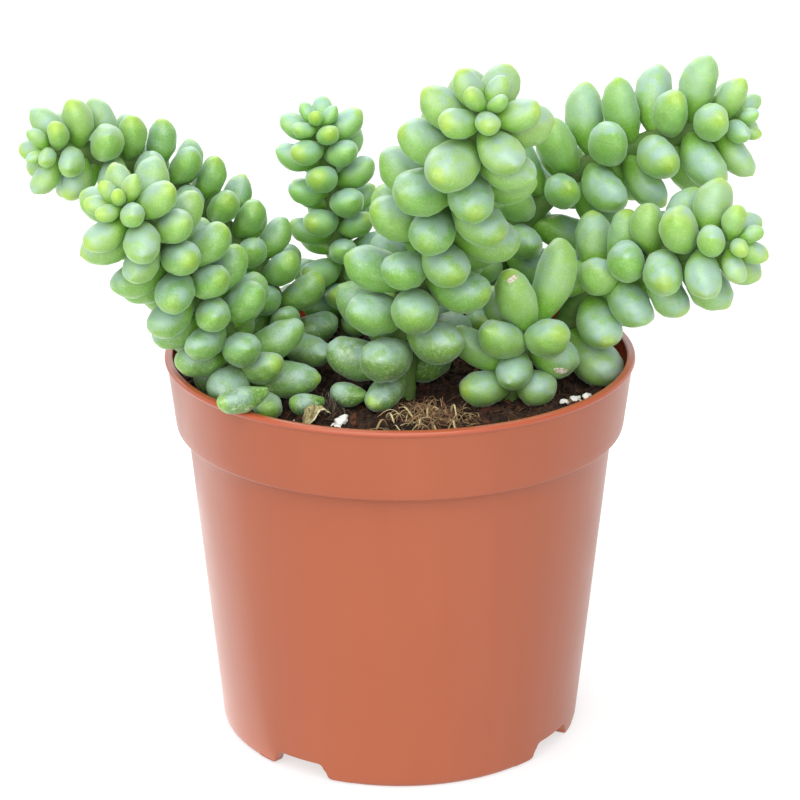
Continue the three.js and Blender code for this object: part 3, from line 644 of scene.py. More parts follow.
def leafy_object(name, own, stem=None):
    """One object from the leaves with these numbers and, for a stem, the stem they grow on."""
    points = leaf_points[own].reshape(-1, 3)
    look, place_and_light = leaf_tints[own].reshape(-1, 4), leaf_place_and_light[own].reshape(-1, 4)
    place_and_light[:, 3] = PALENESS_AND_LIGHT.get(name, 0)
    offsets = (np.arange(len(own)) * leaf_points.shape[1])[:, None, None]
    quads = (leaf_quads[None] + offsets).reshape(-1, 4)
    ends = (leaf_ends[None] + offsets).reshape(-1, 3)
    slots = np.zeros(len(quads) + len(ends))
    if stem is not None:
        core, core_quads, core_ends = core_surface(stem)
        first = len(points)
        points = np.concatenate([points, core])
        look = np.concatenate([look, np.tile([1.0, 1, 0.5, 1], (len(core), 1))])
        place_and_light = np.concatenate([place_and_light, np.tile([0.0, 0, 0.3, 1], (len(core), 1))])
        counts = [len(quads), len(core_quads), len(ends), len(core_ends)]
        slots = np.repeat([0, 1, 0, 1], counts)
        quads = np.concatenate([quads, core_quads + first])
        ends = np.concatenate([ends, core_ends + first])
    made = new_object(name, points, quads, ends, tints=dict(look=look, place_and_light=place_and_light), slots=slots)
    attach(made, "root")
    return made


# The layout leaves this leaf just clear of the rim, mostly outside it: it is laid on the bead.
ONTO_RIM = {"fallen_leaf_over_rim": (1.6, 1.9, -0.05)}

leafy = []
for number, stem in enumerate(stems):
    own = [k for k, leaf in enumerate(leaves) if leaf["stem"] == number]
    made = leafy_object(stem["name"] + "_leaves", own, stem)
    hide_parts(stem["name"])
    leafy.append(made)
for number, (name, *_) in enumerate(FALLEN_LEAVES):
    own = [k for k, leaf in enumerate(leaves) if leaf["stem"] == len(STEMS) + number]
    leaf_points[own] += ONTO_RIM.get(name, (0, 0, 0))
    made = leafy_object(name + "_fine", own)
    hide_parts(name)
    leafy.append(made)

# ---------------------------------------------------------------- pot

RIM_RADIUS = 52.5
BEAD = 1.3
COLLAR_TOP = 51.95
COLLAR_BOTTOM = 50.2
COLLAR_Z = 72.2
BODY_TOP = 47.8
FOOT_RADIUS = 40.94
WALL = 1.2
SOLE_WIDTH = 2.4
PLATE_Z = 4.6
PLATE = 1.2
NOTCH_ANGLES = [-33, 57, 147, 237]  # degrees from the front, towards +X
NOTCH_HEIGHT = 3.9
NOTCH_OUTLINE = [  # distance from the notch's middle and height of the edge
    (4.7, 3.9), (5.2, 3.82), (5.65, 3.6), (5.95, 3.2), (6.2, 2.7), (6.6, 2.2), (6.95, 1.65),
    (7.1, 1.1), (7.35, 0.72), (7.8, 0.52), (8.4, 0.45), (12.4, 0.45), (12.6, 0.3), (12.75, 0.05),
    (13.0, 0.0),
]
PLATE_RINGS = (6, 14, 22, 30)
DRAIN_HOLES = 8
DRAIN_RADIUS = 2.6
DRAIN_RING = 27


def body_radius(z):
    return FOOT_RADIUS + (BODY_TOP - FOOT_RADIUS) * z / COLLAR_Z


def collar_radius(z):
    rise = RIM_HEIGHT - BEAD - COLLAR_Z
    return COLLAR_BOTTOM + (COLLAR_TOP - COLLAR_BOTTOM) * (z - COLLAR_Z) / rise


def edge_heights(angles):
    """The height of the pot's lower edge at each angle from the front."""
    distance, height = zip(*NOTCH_OUTLINE)
    edge = np.zeros_like(angles)
    for middle in NOTCH_ANGLES:
        off = np.abs((angles - middle + 180) % 360 - 180)
        arc = np.radians(off) * FOOT_RADIUS
        edge = np.maximum(edge, np.interp(arc, (0, *distance), (NOTCH_HEIGHT, *height)))
    return edge


def pot_columns():
    """The angles of the pot's columns of points, closer together at the notches' corners."""
    fine = []
    for middle in NOTCH_ANGLES:
        for distance, _ in NOTCH_OUTLINE:
            off = math.degrees(distance / FOOT_RADIUS)
            fine += [(middle + off) % 360, (middle - off) % 360]
    plain = [a for a in np.arange(0, 360, 0.6) if min(abs(a - f) for f in fine) > 0.2]
    return np.array(sorted(fine + plain))


def arc_points(x, z, radius, start, end, steps):
    """Points of an arc in the pot's profile, as distance from the axis and height."""
    turn = np.radians(np.linspace(start, end, steps + 1))
    return [(x + radius * math.cos(a), z + radius * math.sin(a)) for a in turn]


def make_pot():
    """The pot, turned from one profile: up its outside, over the rim and down its inside."""
    angles = pot_columns()
    edge = edge_heights(angles)
    columns = len(angles)
    foot_share = 1 - ease(0, 0.45, edge)
    round_off = 0.35 + 1.05 * foot_share
    rows = []

    def row(radius, z):
        rows.append((np.broadcast_to(radius, (columns,)), np.broadcast_to(z, (columns,))))

    inner_foot = FOOT_RADIUS - SOLE_WIDTH
    for radius in PLATE_RINGS:
        row(radius, PLATE_Z)
    row(inner_foot - 0.9, PLATE_Z)
    row(inner_foot - 0.65, PLATE_Z - 0.15)
    row(inner_foot - 0.5, np.maximum(PLATE_Z - 0.6, edge + 0.2))
    row(inner_foot, edge + 0.25)
    row(inner_foot + 0.25, edge)
    for turn in np.radians([0, 15, 30, 45, 60, 75, 90]):
        z = edge + round_off * (1 - math.cos(turn))
        row(body_radius(z) - round_off * (1 - math.sin(turn)), z)
    for share in (0.25, 0.6, 1):
        z = edge + round_off + (9 - edge - round_off) * share
        row(body_radius(z), z)
    for z in np.linspace(9, COLLAR_Z - 0.8, 22)[1:]:
        row(body_radius(z), z)
    # The inner corner under the collar, its overhang and its lower edge.
    neck = body_radius(COLLAR_Z)
    for x, z in arc_points(neck + 0.55, COLLAR_Z - 0.5, 0.5, 180, 90, 3)[1:]:
        row(x, z)
    for x, z in arc_points(COLLAR_BOTTOM - 0.68, COLLAR_Z + 0.7, 0.7, -90, 0, 8):
        row(x, z)
    for z in np.linspace(COLLAR_Z + 1.2, RIM_HEIGHT - BEAD - 0.25, 10):
        row(collar_radius(z), z)
    row(collar_radius(RIM_HEIGHT - BEAD), RIM_HEIGHT - BEAD - 0.02)
    for x, z in arc_points(RIM_RADIUS - BEAD / 2, RIM_HEIGHT - BEAD / 2, BEAD / 2, -60, 90, 8):
        row(x, z)
    for x, z in arc_points(RIM_INNER + 0.5, RIM_HEIGHT - 0.5, 0.5, 90, 180, 4):
        row(x, z)
    for z in np.linspace(RIM_HEIGHT - 1, COLLAR_Z + WALL, 8):
        row(collar_radius(z) - WALL, z)
    for z in np.linspace(COLLAR_Z - WALL, PLATE_Z + PLATE + 1, 6):
        row(body_radius(z) - WALL, z)
    row(body_radius(PLATE_Z + PLATE) - WALL - 0.8, PLATE_Z + PLATE)
    for radius in reversed(PLATE_RINGS):
        row(radius, PLATE_Z + PLATE)
    turn = np.radians(angles)
    points = np.concatenate(
        [np.stack([radius * np.sin(turn), -radius * np.cos(turn), z], 1) for radius, z in rows]
    )
    points = np.concatenate([points, [[0, 0, PLATE_Z], [0, 0, PLATE_Z + PLATE]]])
    quads, ends = grid_quads(len(rows), columns), end_fans(len(rows), columns)
    return new_object("pot_fine", points, quads, ends)


def drain_holes(pot):
    """Cuts the drain holes through the base plate."""
    sides, points, quads, ends = 40, [], [], []
    for k in range(DRAIN_HOLES):
        turn = (k + 0.5) / DRAIN_HOLES * TAU
        x, y = DRAIN_RING * math.sin(turn), -DRAIN_RING * math.cos(turn)
        first = len(points)
        for z in (PLATE_Z - 1, PLATE_Z + PLATE + 1):
            for a in np.arange(sides) / sides * TAU:
                points.append((x + DRAIN_RADIUS * math.cos(a), y + DRAIN_RADIUS * math.sin(a), z))
        points += [(x, y, PLATE_Z - 1), (x, y, PLATE_Z + PLATE + 1)]
        quads.append(grid_quads(2, sides) + first)
        ends.append(end_fans(2, sides) + first)
    cutter = new_object("drain_cutter", points, np.concatenate(quads), np.concatenate(ends))
    cut = pot.modifiers.new("drain", "BOOLEAN")
    cut.object = cutter
    cut.solver = "EXACT"
    depsgraph = bpy.context.evaluated_depsgraph_get()
    mesh = bpy.data.meshes.new_from_object(pot.evaluated_get(depsgraph))
    pot.modifiers.clear()
    pot.data = mesh
    bpy.data.objects.remove(cutter)


pot = make_pot()
drain_holes(pot)
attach(pot, "root")
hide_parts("pot")

# ---------------------------------------------------------------- soil and litter

PERLITE = [  # the middle, the three widths and the turn in degrees
    ((-12.9, -26.3), (3, 2.8, 2.7), 20),
    ((-12.2, -22.2), (2.6, 1.7, 1.4), -12),
    ((-13.8, -29.2), (3, 1.8, 1.4), 10),
    ((38.6, -12), (3, 2.4, 1.9), 35),
    ((35.9, -14.4), (2.5, 2.1, 1.8), 80),
    ((41.4, -10.2), (2.4, 2, 1.6), -30),
    ((45.4, 4.6), (2.5, 1.9, 1.6), 65),
]
GRAIN_RISE = 0.15
CLEARED = 0.62  # how far from a grain's middle the crumbs keep, over its length
DRY_START = np.array([-20.4, -30.2, 82.2])
DRY_END = np.array([-15.6, -25.6, 83.3])
DRY_HEIGHT = 3
DRY_HALF_WIDTH = 2.9
DRY_CURL = math.radians(62)
DRY_ROLL = math.radians(12)  # how far its front edge is lifted
LUCK_SEED, LATTICE_SEED, CRUMB_SEED, SPECK_SEED, GRAIN_SEED = 11, 5, 21, 23, 40
LATTICE_SIZE = 64
luck = np.random.default_rng(LUCK_SEED)


def soil_height(x, y):
    """The soil's broad bumps, the same as the solid's."""
    bumps = np.sin(0.42 * x + 1.3 * np.sin(0.17 * y)) * np.cos(0.38 * y + 0.9 * np.sin(0.21 * x))
    return SOIL_TOP + SOIL_RELIEF * bumps * 0.5 - SOIL_RELIEF * 0.5


LATTICE = np.random.default_rng(LATTICE_SEED).random((LATTICE_SIZE, LATTICE_SIZE))


def value_noise(x, y, scale, shift=0.0):
    """Smooth noise from -1 to 1 with lumps of about scale millimetres."""
    u, v = x / scale + 17.3 + shift, y / scale + 9.1 + 2 * shift
    i, j = np.floor(u).astype(int), np.floor(v).astype(int)
    a, b = u - i, v - j
    a, b = a * a * (3 - 2 * a), b * b * (3 - 2 * b)
    at = lambda p, q: LATTICE[p % LATTICE_SIZE, q % LATTICE_SIZE]
    low = at(i, j) * (1 - a) + at(i + 1, j) * a
    high = at(i, j + 1) * (1 - a) + at(i + 1, j + 1) * a
    return 2 * (low * (1 - b) + high * b) - 1


def ground(x, y):
    """The height of the crumbly top of the soil."""
    uneven = 0.7 * value_noise(x, y, 6) + 0.55 * value_noise(x, y, 2.6, 3)
    uneven = uneven + 0.35 * value_noise(x, y, 1.1, 7)
    edge = ease(RIM_INNER - 8, RIM_INNER - 1.5, np.hypot(x, y))
    return soil_height(x, y) + uneven * (1 - 0.5 * edge) - 0.25 * edge


def make_soil():
    """The soil, closed below, a gap inside the pot's wall and plate."""
    rings, sides = 110, 300
    outer = collar_radius(SOIL_TOP - 1) - WALL - GAP
    radius = outer * (1 - np.arange(rings) / rings)
    turn = np.arange(sides) / sides * TAU
    x, y = radius[:, None] * np.cos(turn), radius[:, None] * np.sin(turn)
    top = np.stack([x, y, ground(x, y)], -1).reshape(-1, 3)
    bottom_z = PLATE_Z + PLATE + GAP
    below = []
    for r, z in (
        (body_radius(bottom_z) - WALL - GAP, bottom_z),
        (body_radius(40) - WALL - GAP, 40),
        (body_radius(COLLAR_Z - WALL) - WALL - GAP, COLLAR_Z - WALL),
        (collar_radius(COLLAR_Z + WALL) - WALL - GAP, COLLAR_Z + WALL + GAP),
        (outer, SOIL_TOP - 2.5),
    ):
        below.append(np.stack([r * np.cos(turn), r * np.sin(turn), np.full(sides, z)], 1))
    middle_z = float(ground(np.zeros(1), np.zeros(1))[0])
    points = np.concatenate([*below, top, [[0, 0, bottom_z], [0, 0, middle_z]]])
    count = len(below) + rings
    return new_object("soil_top", points, grid_quads(count, sides), end_fans(count, sides))


def ball_mesh(steps):
    """Points and triangles of a finely divided icosahedron of radius 1."""
    golden = (1 + 5**0.5) / 2
    points = [(-1, golden, 0), (1, golden, 0), (-1, -golden, 0), (1, -golden, 0)]
    points += [(0, -1, golden), (0, 1, golden), (0, -1, -golden), (0, 1, -golden)]
    points += [(golden, 0, -1), (golden, 0, 1), (-golden, 0, -1), (-golden, 0, 1)]
    faces = [(0, 11, 5), (0, 5, 1), (0, 1, 7), (0, 7, 10), (0, 10, 11), (1, 5, 9), (5, 11, 4)]
    faces += [(11, 10, 2), (10, 7, 6), (7, 1, 8), (3, 9, 4), (3, 4, 2), (3, 2, 6), (3, 6, 8)]
    faces += [(3, 8, 9), (4, 9, 5), (2, 4, 11), (6, 2, 10), (8, 6, 7), (9, 8, 1)]
    points = [tuple(unit(np.array(p, float))) for p in points]
    for _ in range(steps):
        middles, finer = {}, []

        def middle(a, b):
            key = (min(a, b), max(a, b))
            if key not in middles:
                middles[key] = len(points)
                points.append(tuple(unit((np.array(points[a]) + np.array(points[b])) / 2)))
            return middles[key]

        for a, b, c in faces:
            ab, bc, ca = middle(a, b), middle(b, c), middle(c, a)
            finer += [(a, ab, ca), (b, bc, ab), (c, ca, bc), (ab, bc, ca)]
        faces = finer
    return np.array(points), np.array(faces)


def lumps(centres, sizes, steps, roughness, seed):
    """Irregular lumps: one closed ball each, stretched, turned and pushed about."""
    ball, faces = ball_mesh(steps)
    draws = np.random.default_rng(seed)
    count = len(centres)
    turns = draws.random((count, 3)) * TAU
    points = np.repeat(ball[None], count, 0)
    phase = draws.random((count, 1, 3)) * 40
    for scale, share in ((1.7, 1.0), (3.7, 0.6), (7.9, 0.35)):
        crossed = np.sin(points[..., [1, 2, 0]] * scale * 1.3 + 2 * phase)
        waves = np.sin(points * scale + phase) * crossed
        bump = waves.sum(-1, keepdims=True) * roughness * share
        points = points * (1 + bump * 0.5)
    points = points * np.asarray(sizes)[:, None, :] / 2
    for axis in range(3):
        if axis < 2 and steps > 1:
            continue
        a, b = (axis + 1) % 3, (axis + 2) % 3
        cos, sin = np.cos(turns[:, axis])[:, None], np.sin(turns[:, axis])[:, None]
        first = points[..., a] * cos - points[..., b] * sin
        second = points[..., a] * sin + points[..., b] * cos
        points[..., a], points[..., b] = first, second
    points = points + np.asarray(centres)[:, None]
    faces = (faces[None] + (np.arange(count) * len(ball))[:, None, None]).reshape(-1, 3)
    return points.reshape(-1, 3), faces, len(ball)


STRAND_STEPS, STRAND_SIDES = 9, 5
FLATNESS = 0.35


def strands(paths, widths):
    """Thin fibres along lists of points, flattened to ribbons, each a closed tube."""
    points, quads, ends = [], [], []
    turn = np.arange(STRAND_SIDES) / STRAND_SIDES * TAU
    for path, width in zip(paths, widths):
        path = np.asarray(path)
        along = unit(np.gradient(path, axis=0) + 1e-9)
        across = unit(np.cross(along, [0.13, 0.21, 1.0]))
        over = np.cross(across, along)
        taper = np.interp(np.linspace(0, 1, len(path)), [0, 0.12, 0.8, 1], [0.5, 1, 0.9, 0.25])
        first = sum(len(p) for p in points)
        rows = (
            path[:, None]
            + across[:, None] * (width / 2 * taper[:, None] * np.cos(turn))[..., None]
            + over[:, None] * (width / 2 * FLATNESS * taper[:, None] * np.sin(turn))[..., None]
        )
        points += [rows.reshape(-1, 3), path[:1], path[-1:]]
        # The rings turn right along the path, so the faces are turned over.
        quads.append(grid_quads(len(path), STRAND_SIDES)[:, ::-1] + first)
        ends.append(end_fans(len(path), STRAND_SIDES)[:, [0, 2, 1]] + first)
    return np.concatenate(points), np.concatenate(quads), np.concatenate(ends)


def scatter(count):
    """Places on the soil, evenly spread over its disc."""
    radius = np.sqrt(luck.random(count) * (RIM_INNER - 2) ** 2)
    turn = luck.random(count) * TAU
    return radius * np.cos(turn), radius * np.sin(turn)


def tinted(per_piece, count):
    """A random RGBA per piece, given to all its points."""
    values = np.concatenate([luck.random((count, 3)), np.ones((count, 1))], 1)
    return np.repeat(values, per_piece, 0)


soil = make_soil()
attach(soil, "root")
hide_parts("soil")


def clear_of_grains(x, y):
    """Moves places out from under the perlite grains."""
    for (grain_x, grain_y), size, _ in PERLITE:
        off_x, off_y = x - grain_x, y - grain_y
        reach = CLEARED * size[0]
        push = np.maximum(reach / (np.hypot(off_x, off_y) + 1e-6), 1)
        x, y = grain_x + off_x * push, grain_y + off_y * push
    return x, y


CRUMBS = 5200
x, y = clear_of_grains(*scatter(CRUMBS))
width = 0.35 + 1.5 * luck.random(CRUMBS) ** 4
size = np.stack([width * (0.7 + 0.6 * luck.random(CRUMBS)) for _ in range(3)], 1)
centre = np.stack([x, y, ground(x, y) + 0.18 * width], 1)
points, faces, each = lumps(centre, size, 1, 0.32, CRUMB_SEED)
crumbs = new_object(
    "soil_crumbs", points, triangles=faces, smooth=False, tints=dict(look=tinted(each, CRUMBS))
)
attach(crumbs, "root")


def fibre_path(x, y, heading, length, bend, lift):
    """A path over the soil that starts at a place and stays inside the pot."""
    share = np.linspace(0, 1, STRAND_STEPS)
    turn = heading + bend * (share - 0.5)
    px = x + np.cumsum(np.cos(turn)) * length / STRAND_STEPS
    py = y + np.cumsum(np.sin(turn)) * length / STRAND_STEPS
    inside = np.minimum(1, (RIM_INNER - 1.6) / (np.hypot(px, py) + 1e-6))
    px, py = px * inside, py * inside
    pz = ground(px, py) + 0.25 + lift * np.sin(math.pi * share)
    kernel = np.array([1, 2, 1]) / 4
    padded = np.concatenate([pz[:1], pz, pz[-1:]])
    return np.stack([px, py, np.convolve(padded, kernel, "valid")], 1)


def litter(name, count, width_range, length_range, centre=None, spread=0.0, lift=0.6, curl=0.9):
    """Strands with widths and lengths in these ranges, all over the soil or about a centre."""
    paths, widths = [], []
    for _ in range(count):
        if centre is None:
            x, y = (float(v[0]) for v in scatter(1))
        else:
            x, y = np.array(centre) + luck.normal(size=2) * spread
        reach = math.hypot(x, y)
        if reach > RIM_INNER - 4:
            x, y = x * (RIM_INNER - 4) / reach, y * (RIM_INNER - 4) / reach
        heading, bend = luck.random() * TAU, luck.normal() * curl
        length = length_range[0] + (length_range[1] - length_range[0]) * luck.random()
        paths.append(fibre_path(x, y, heading, length, bend, lift * luck.random() * 2))
        widths.append(width_range[0] + (width_range[1] - width_range[0]) * luck.random() ** 2)
    points, quads, ends = strands(paths, widths)
    tints = dict(look=tinted(STRAND_STEPS * STRAND_SIDES + 2, count))
    made = new_object(name, points, quads, ends, tints=tints)
    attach(made, "root")
    return made


fibres = litter("soil_fibres", 420, (0.12, 0.4), (3, 9))
straw_bits = litter("straw_litter", 44, (0.3, 0.75), (3, 8), (6, -26.5), 3.8, 1.5, 0.08)
dark_clump = litter("dried_clump", 200, (0.12, 0.34), (1.5, 4), (-15.6, -18.8), 1.1, 1.8, 1.4)
brown_clump = litter("brown_clump", 110, (0.12, 0.4), (1.5, 4), (-28.5, -33.5), 0.9, 2.0, 1.2)
mesh_clump = litter("fibre_clump", 420, (0.14, 0.42), (3, 7), (7, -23.5), 3.0, 1.0, 2.2)


def make_perlite():
    made = []
    for k, (middle, size, degrees) in enumerate(PERLITE):
        centre = (*middle, float(soil_height(*middle)) + GRAIN_RISE * size[2])
        points, faces, _ = lumps([(0, 0, 0)], [size], 4, 0.2, GRAIN_SEED + k)
        turn = math.radians(degrees)
        x = points[:, 0] * math.cos(turn) - points[:, 1] * math.sin(turn)
        y = points[:, 0] * math.sin(turn) + points[:, 1] * math.cos(turn)
        pits = value_noise(x * 3 + 40, y * 3 + points[:, 2] * 2, 1.5, k) * 0.09
        points = np.stack([x, y, points[:, 2]], 1) * (1 + pits[:, None]) + np.array(centre)
        grain = new_object("perlite_grain_" + str(k + 1), points, triangles=faces)
        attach(grain, "root")
        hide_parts("perlite_" + str(k + 1))
        made.append(grain)
    return made


perlite = make_perlite()

SPECKS = 70
x, y = scatter(SPECKS)
width = 0.35 + 0.9 * luck.random(SPECKS) ** 2
size = np.stack([width, width * 0.8, width * 0.6], 1)
centre = np.stack([x, y, ground(x, y) + 0.2 * width], 1)
points, faces, each = lumps(centre, size, 2, 0.25, SPECK_SEED)
specks = new_object("perlite_specks", points, triangles=faces)
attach(specks, "root")


def make_dry_leaf():
    """A dried leaf skin: a scoop between its ends, open downwards, with a wavy edge."""
    along = unit(DRY_END - DRY_START)
    side = unit(np.cross(along, UP))
    up = np.cross(side, along)
    rings, around, thickness = 40, 25, 0.22
    cos, sin = math.cos(DRY_ROLL), math.sin(DRY_ROLL)
    up, side = up * cos - side * sin, side * cos + up * sin
    share = np.linspace(0.01, 0.99, rings)
    swell = np.sin(math.pi * share)
    radius = DRY_HALF_WIDTH * (0.35 + 0.65 * swell)
    middle = DRY_START + (DRY_END - DRY_START) * share[:, None]
    middle = middle + up * (DRY_HEIGHT * swell - radius)[:, None]
    turn = np.linspace(-1, 1, around)
    sheets = []
    for inset, way in ((0, 1), (thickness, -1)):
        angle = way * turn[None] * DRY_CURL * (1 + 0.12 * np.sin(9 * share)[:, None])
        wrinkle = 0.16 * np.sin(26 * share[:, None] + 3 * angle) * swell[:, None]
        wrinkle = wrinkle + 0.1 * np.sin(angle * 13 + 4 * np.sin(7 * share[:, None]))
        fold = 0.9 * np.exp(-((angle / 0.3) ** 2)) * swell[:, None]
        r = radius[:, None] - inset + wrinkle - fold
        sheet = middle[:, None] + up * (r * np.cos(angle))[..., None]
        sheets.append(sheet + side * (r * np.sin(angle))[..., None])
    points = np.concatenate(sheets, 1).reshape(-1, 3)
    sides = 2 * around
    edge = np.tile(np.abs(np.concatenate([turn, turn])), rings)
    place = np.repeat(share, sides)
    tints = np.stack([edge, place, place, np.ones_like(edge)], 1)
    points = np.concatenate([points, [DRY_START, DRY_END]])
    tints = np.concatenate([tints, [[1, 0, 0, 1], [1, 1, 1, 1]]])
    quads, ends = grid_quads(rings, sides), end_fans(rings, sides)
    return new_object("dry_leaf_skin", points, quads, ends, tints=dict(look=tints))


# Each ring's share of the scar's width and its height over the skin, from below to the top.
SCAR_RINGS = [(0.4, -0.25), (0.85, -0.2), (1, -0.02), (0.94, 0.1), (0.75, 0.12), (0.5, 0.08)]
SCAR_RINGS += [(0.2, 0.07)]


def make_scar(number, pixel, half_length, half_width, turn):
    """A healed scar: a thin lens on the leaf that shows at a pixel of the frame."""
    mesh = leafy[[stem["name"] for stem in stems].index("stem_short")].data
    tree = BVHTree.FromPolygons([v.co for v in mesh.vertices], [p.vertices for p in mesh.polygons])
    focal = CAMERA_LENS / SENSOR * FRAME
    across, over = (pixel[0] - FRAME / 2) / focal, (FRAME / 2 - pixel[1]) / focal
    pitch = math.radians(CAMERA_PITCH)
    forward = np.array([0, math.cos(pitch), -math.sin(pitch)])
    upward = np.array([0, math.sin(pitch), math.cos(pitch)])
    sight = unit(forward + across * np.array([1.0, 0, 0]) + over * upward)
    spot, normal, *_ = tree.ray_cast(np.array(CAMERA_AT) * MM, sight)
    normal = np.array(normal)
    first = unit(np.cross(UP, normal))
    second = np.cross(normal, first)
    along = first * math.cos(turn) + second * math.sin(turn)
    beside = np.cross(normal, along)
    sides, rings = 16, SCAR_RINGS

    def on_skin(share, a, height):
        wobble = share * (1 + 0.12 * math.sin(2 * a + number) + 0.07 * math.sin(5 * a))
        off = along * half_length * wobble * math.cos(a)
        off = off + beside * half_width * wobble * math.sin(a)
        start = np.array(spot) + (off + normal) * MM
        below, *_ = tree.ray_cast(start, -normal)
        return np.array(below) / MM + normal * height

    turns = np.arange(sides) / sides * TAU
    points = [on_skin(share, a, height) for share, height in rings for a in turns]
    points += [on_skin(0, 0, rings[0][1]), on_skin(0, 0, rings[-1][1])]
    quads, ends = grid_quads(len(rings), sides), end_fans(len(rings), sides)
    made = new_object("leaf_scar_" + str(number), np.array(points), quads, ends)
    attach(made, "root")
    return made


scars = [
    make_scar(1, (512, 279), 1.25, 0.7, math.radians(35)),
    make_scar(2, (561, 371), 1.5, 0.9, math.radians(-8)),
]
dry_leaf = make_dry_leaf()
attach(dry_leaf, "root")
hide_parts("dry_leaf")

# ---------------------------------------------------------------- materials


class Look:
    """A material with its Principled shader and short ways to add nodes."""

    def __init__(self, name, **values):
        self.material = bpy.data.materials.new(name)
        self.material.use_nodes = True
        self.tree = self.material.node_tree
        self.shader = self.tree.nodes["Principled BSDF"]
        for key, value in values.items():
            self.shader.inputs[key.replace("_", " ")].default_value = value

    def node(self, kind, inputs=None, **settings):
        made = self.tree.nodes.new(kind)
        for key, value in settings.items():
            setattr(made, key, value)
        for key, value in (inputs or {}).items():
            self.put(value, made.inputs[key])
        return made

    def put(self, value, socket):
        if isinstance(value, bpy.types.NodeSocket):
            self.tree.links.new(value, socket)
        else:
            socket.default_value = value

    def noise(self, scale, detail=3.0, roughness=0.55, stretch=None, distortion=0.0):
        """Noise with lumps of about 1 / scale metres."""
        place = self.node("ShaderNodeTexCoord").outputs["Object"]
        if stretch:
            place = self.node("ShaderNodeMapping", {"Vector": place, "Scale": stretch}).outputs[0]
        values = {"Vector": place, "Scale": scale, "Detail": detail}
        values.update({"Roughness": roughness, "Distortion": distortion})
        return self.node("ShaderNodeTexNoise", values).outputs["Fac"]

    def span(self, value, low, high, start=0.0, end=1.0):
        """Maps low..high smoothly to start..end."""
        return self.node(
            "ShaderNodeMapRange",
            {"Value": value, "From Min": low, "From Max": high, "To Min": start, "To Max": end},
            interpolation_type="SMOOTHSTEP",
        ).outputs[0]

    def mix(self, share, first, second):
        """Two colours mixed; one given as a tuple has the 0 to 255 values of the screen."""
        made = self.node("ShaderNodeMix", data_type="RGBA")
        self.put(share, made.inputs[0])
        for colour, socket in ((first, made.inputs[6]), (second, made.inputs[7])):
            self.put(linear(*colour) if isinstance(colour, tuple) else colour, socket)
        return made.outputs[2]

    def times(self, first, second):
        return self.maths("MULTIPLY", first, second)

    def maths(self, operation, first, second=0.0):
        made = self.node("ShaderNodeMath", operation=operation)
        self.put(first, made.inputs[0])
        self.put(second, made.inputs[1])
        return made.outputs[0]

    def tint(self, name):
        """The red, green and blue of a point attribute."""
        colour = self.node("ShaderNodeAttribute", attribute_name=name).outputs["Color"]
        split = self.node("ShaderNodeSeparateColor", {"Color": colour})
        return split.outputs[0], split.outputs[1], split.outputs[2]

    def fourth(self, name):
        """The last value of a point attribute."""
        return self.node("ShaderNodeAttribute", attribute_name=name).outputs["Alpha"]

    def paint(self, colour):
        self.put(colour, self.shader.inputs["Base Color"])

    def gloss(self, roughness):
        self.put(roughness, self.shader.inputs["Roughness"])

    def bump(self, height, depth_mm, strength=1.0):
        made = self.node("ShaderNodeBump", {"Height": height, "Strength": strength})
        made.inputs["Distance"].default_value = depth_mm * MM
        self.put(made.outputs[0], self.shader.inputs["Normal"])

    def on(self, *objects):
        for obj in objects:
            obj.data.materials.append(self.material)


